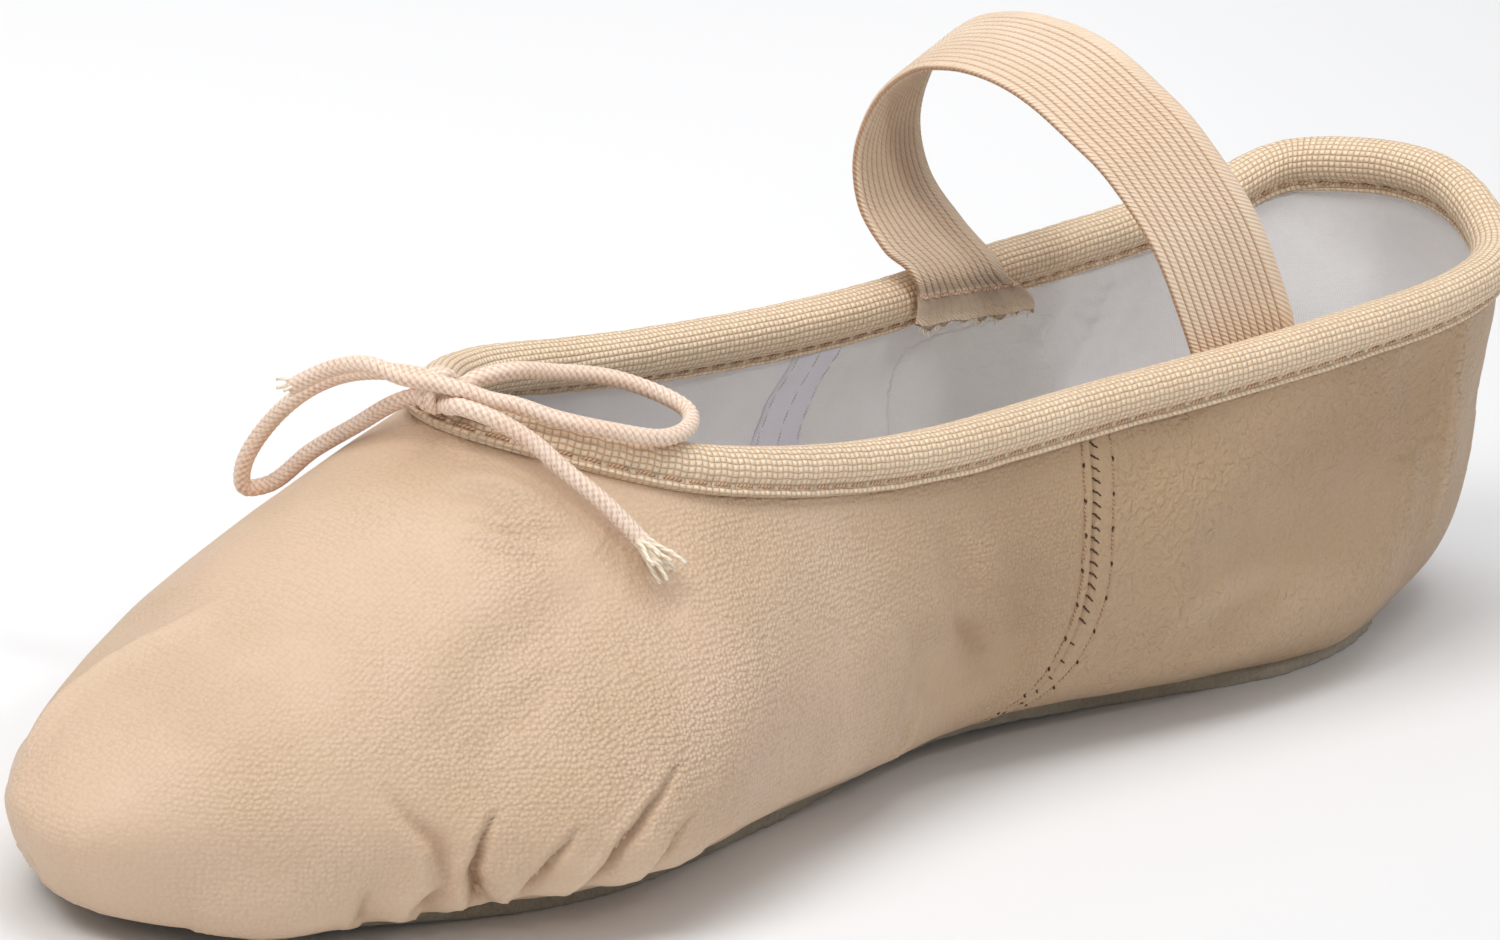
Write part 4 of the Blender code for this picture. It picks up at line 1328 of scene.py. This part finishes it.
def strap_lines():
    """The strap's middle line, the way across it, and the way out of its outer face."""
    clearance = WALL + 2 * GAP + 0.95 * BINDING_ROLL + STRAP_THICKNESS / 2
    sides, walls = [], []
    for row, far in ((STRAP_ARCH[0], False), (STRAP_ARCH[-1], True)):
        angle = collar_at(STRAP_AT + row.lean * STRAP_WIDTH, far)
        edge, out = edge_frame(angle)
        sides.append(edge - out * clearance)
        wall = collar_point(angle + 0.02) - collar_point(angle - 0.02)
        walls.append(unit(wall) * (-1 if far else 1))
    middle = (sides[0] + sides[1]) / 2
    half = (sides[1][1] - sides[0][1]) / 2
    knots = [k / (len(STRAP_ARCH) - 1) for k in range(len(STRAP_ARCH))]
    points = [vec(STRAP_AT + row.lean * STRAP_WIDTH, middle[1] + row.across * half,
                  middle[2] + row.rise * STRAP_RISE) for row in STRAP_ARCH]
    line, wides = [], []
    for k in range(STRAP_ROWS + 1):
        t = k / STRAP_ROWS
        line.append(cubic(knots, points, t))
        before, after = max(t - 0.01, 0), min(t + 0.01, 1)
        ahead = unit(cubic(knots, points, after) - cubic(knots, points, before))
        wide = walls[0] + (walls[1] - walls[0]) * t
        wide[1] += cubic(knots, [row.twist for row in STRAP_ARCH], t)
        wide[2] = cubic(knots, [row.tilt for row in STRAP_ARCH], t)
        wides.append(unit(wide - ahead * wide.dot(ahead)))
    line, wides = np.array(line), np.array(wides)
    ahead = unit(np.gradient(line, axis=0))
    outs = unit(np.cross(wides, ahead))
    return line, wides, outs if outs[-1, 1] > 0 else -outs


STRAP_EDGE = 2.2             # the smoother band along the edge that looks to the heel
SEWN_AT = 3.6                # from the cut end to the stitches across the strap
END_FLARE = 6.0              # the cut end spreads by this much to the heel
END_FLAT = (15, 7)           # from the cut end: between these it turns flat on the lining
END_FALL = 0.12              # how much lower the end's heel side hangs, for its width


def make_strap():
    """Ribbed elastic band. Gives its outer and inner faces, their ways out and its length."""
    line, wides, outs = strap_lines()
    run = run_of(line)
    to_end = np.minimum(run, run[-1] - run)
    # The last of it lies flat on the lining, so that its rows stay parallel to the cut end.
    flat_end = smooth(run, run[-1] - END_FLAT[0], run[-1] - END_FLAT[1])[:, None]
    wides = unit(wides * (1 - flat_end) + unit(wides[-1] - vec(0, 0, END_FALL)) * flat_end)
    flat = 1 - smooth(to_end, SEWN_AT - 0.6, SEWN_AT + 0.8)
    columns = RIBS * RIB_COLUMNS + 1
    share = np.linspace(-0.5, 0.5, columns)
    rib = np.abs(np.sin(np.linspace(0, RIBS * pi, columns))) ** 0.55
    band = smooth(share, 0.5 - STRAP_EDGE / STRAP_WIDTH, 0.5 - 0.8 * STRAP_EDGE / STRAP_WIDTH)
    rib = np.maximum(rib, 0.8 * band)
    edge = 1 - np.abs(share * 2) ** 24
    half = STRAP_THICKNESS / 2
    sewn = np.exp(-((to_end - SEWN_AT) / 0.35) ** 2)
    top = (half * 0.56 + 0.26 * rib)[None] * (0.35 + 0.65 * edge)[None]
    smooth_top = (half * 0.9 * (0.35 + 0.65 * edge))[None] * 0.75
    top = top * (1 - flat[:, None]) + smooth_top * flat[:, None]
    top = top * (1 - 0.3 * sewn[:, None])
    across = np.concatenate([share, share[::-1]])
    height = np.concatenate([top, -top[:, ::-1]], axis=1)
    mark = np.broadcast_to(np.concatenate([rib, rib[::-1]]), height.shape)
    flare = END_FLARE * smooth(run, run[-1] - 6, run[-1] - 0.5)
    aside = across[None] * STRAP_WIDTH + flare[:, None] * (across[None] + 0.5)
    ripple = 0.22 * flat[:, None] * np.sin(across * 19)[None]
    grid = (line[:, None] + wides[:, None] * aside[..., None]
            + outs[:, None] * (height + ripple)[..., None])
    ragged = 0.35 * np.sin(across * 41) + 0.25 * np.sin(across * 13)
    grid[-1] += unit(line[-1] - line[-2]) * ragged[:, None]
    piece = Piece()
    piece.grid(grid, closed=True, mark=mark, grain=np.broadcast_to(flat[:, None], height.shape))
    piece.flat_caps(len(line), 2 * columns)
    piece.make("instep_elastic", ELASTIC, "strap_elastic", ["instep_strap"])
    return grid[:, :columns], grid[:, columns:][:, ::-1], outs, run


def finish_strap():
    """The stitches across both sewn ends, and the threads that come loose at the cut edge."""
    outer, inner, outs, run = make_strap()
    threads, fray = Piece(), Piece()
    for at in (SEWN_AT, run[-1] - SEWN_AT):
        row = int(np.searchsorted(run, at))
        out = -outs[row]
        for n in range(10):
            columns = np.linspace((n + 0.18) / 10, (n + 0.86) / 10, 6) * (inner.shape[1] - 1)
            stitch(threads, inner[row, columns.round().astype(int)] + out * 0.02, 0.2, 0.2, out)
    down = unit(outer[-1] - outer[-4])
    for j in range(2, outer.shape[1] - 2):
        share = 0.3 + 0.2 * (j % 3)
        start = outer[-1, j] * share + inner[-1, j] * (1 - share)
        reach = 0.35 + 0.45 * abs(sin(5.1 * j)) ** 3
        bent = vec(0.35 * sin(3.7 * j), 0.15 * cos(2.3 * j), 0)
        path = route([start - down[j] * 0.5, start + down[j] * reach * 0.5 + bent * 0.3,
                      start + down[j] * reach + bent], 0.25)
        fray.tube(path, np.linspace(0.13, 0.07, len(path)), 5)
    threads.make("strap_stitches", PINK_THREAD, "strap_elastic")
    fray.make("strap_end_fray", FRAY, "strap_elastic")


finish_strap()


SOLE_STEPS = 420
SOLE_MIDDLE = (115, 0, 0)
CUT_WAVES = ((0.22, 1.3, 4.0), (0.14, 0.6, 9.0))
SOLE_COLUMNS = 30
SOLE_SHARES = (0.0, 0.12, 0.4, 0.72, 0.92, 1.0)
SOLE_ROUNDING = (0.35, 0.08, 0.0, 0.0, 0.10, 0.40)


def make_outsole():
    """Suede outsole with a rough cut edge."""
    turns = np.linspace(0, pi, SOLE_STEPS + 1)
    both = []
    for sign in (1, -1):
        line = np.array([sole_point(sign * a, OUTSOLE_INSET, 0) for a in turns])
        ahead = unit(np.gradient(line, axis=0))
        out = unit(np.cross(ahead, vec(0, 0, sign)))
        if (out * (line - vec(*SOLE_MIDDLE))).sum() < 0:
            out = -out
        levels = []
        for share, round_off in zip(SOLE_SHARES, SOLE_ROUNDING):
            spot = line + vec(0, 0, OUTSOLE_THICKNESS * share)
            levels.append(spot + out * (uneven(spot, CUT_WAVES) - round_off)[:, None])
        both.append(np.stack(levels, 1))
    inner, outer = both
    fill = np.linspace(0, 1, SOLE_COLUMNS + 2)[1:-1, None]
    rows = []
    for a, b in zip(inner, outer):
        under = a[0] + (b[0] - a[0]) * fill
        over = b[-1] + (a[-1] - b[-1]) * fill
        under[:, 2] += 0.10 * np.minimum(1, 4 * fill[:, 0] * (1 - fill[:, 0]))
        rows.append(np.concatenate([a[:1], under, b, over, a[:0:-1]]))
    grid = np.array(rows)
    grid[..., 2] = np.maximum(grid[..., 2], 0.0)
    piece = Piece()
    piece.grid(grid, closed=True)
    piece.make("outsole_suede", SUEDE, "suede", ["outsole"])


def finish_insole():
    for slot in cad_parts["insole"].material_slots:
        slot.material = INSOLE


make_outsole()
finish_insole()


FLOOR_SIZE = 8.0
FLOOR_SEGMENTS = 8
LAMPS_LOOK_AT = (0, 0, 0.03)
SNOOT_WAY = (-0.25, -0.83, 0.5)
SNOOT_DISTANCE = 1.2
SNOOT_POWER = 18
SNOOT_ANGLE = radians(28)
SNOOT_EDGE = 0.026           # height of the beam's lower edge over the shoe's middle
# The studio's ceiling is bright and its walls are dim.
SKY = {"From Min": 0.0, "From Max": 0.9, "To Min": 0.28, "To Max": 0.60}


def make_floor():
    bm = bmesh.new()
    bmesh.ops.create_grid(bm, x_segments=FLOOR_SEGMENTS, y_segments=FLOOR_SEGMENTS,
                          size=FLOOR_SIZE / 2)
    mesh = bpy.data.meshes.new("floor")
    bm.to_mesh(mesh)
    bm.free()
    mesh.materials.append(floor_paint())
    link("floor", mesh)


def lamp(name, kind, at, look_at, power, **settings):
    data = bpy.data.lights.new(name, kind)
    data.energy = power
    for key, value in settings.items():
        setattr(data, key, value)
    obj = link(name, data)
    obj.location = at
    obj.rotation_euler = (Vector(look_at) - Vector(at)).to_track_quat("-Z", "Y").to_euler()


def make_lights():
    lamp("key", "AREA", (-0.85, 0.05, 1.10), LAMPS_LOOK_AT, 7.4, shape="DISK", size=0.7,
         color=(1.0, 0.985, 0.965))
    lamp("top", "AREA", (0.05, 0.0, 1.5), LAMPS_LOOK_AT, 8.4, shape="DISK", size=1.1)
    # A snoot whose beam passes over the near wall and reaches the lining of the far one.
    way_in = unit(vec(*SNOOT_WAY))
    rise = unit(vec(0, 0, 1) - way_in * way_in[2])
    aim = vec(0, 0, SNOOT_EDGE) + rise * SNOOT_DISTANCE * sin(SNOOT_ANGLE / 2)
    lamp("snoot", "SPOT", way_in * SNOOT_DISTANCE + aim, aim, SNOOT_POWER, spot_size=SNOOT_ANGLE,
         spot_blend=0.07, shadow_soft_size=0.09)


def make_world():
    world = bpy.data.worlds.new("studio")
    world.use_nodes = True
    tree = world.node_tree
    back = tree.nodes["Background"]
    back.inputs["Color"].default_value = (0.97, 0.98, 1.0, 1)
    way = tree.nodes.new("ShaderNodeSeparateXYZ")
    tree.links.new(tree.nodes.new("ShaderNodeTexCoord").outputs["Generated"], way.inputs[0])
    rise = tree.nodes.new("ShaderNodeMapRange")
    for key, value in SKY.items():
        rise.inputs[key].default_value = value
    tree.links.new(way.outputs[2], rise.inputs["Value"])
    tree.links.new(rise.outputs[0], back.inputs["Strength"])
    bpy.context.scene.world = world
    bpy.context.scene.view_settings.view_transform = "Standard"


make_floor()
make_lights()
make_world()
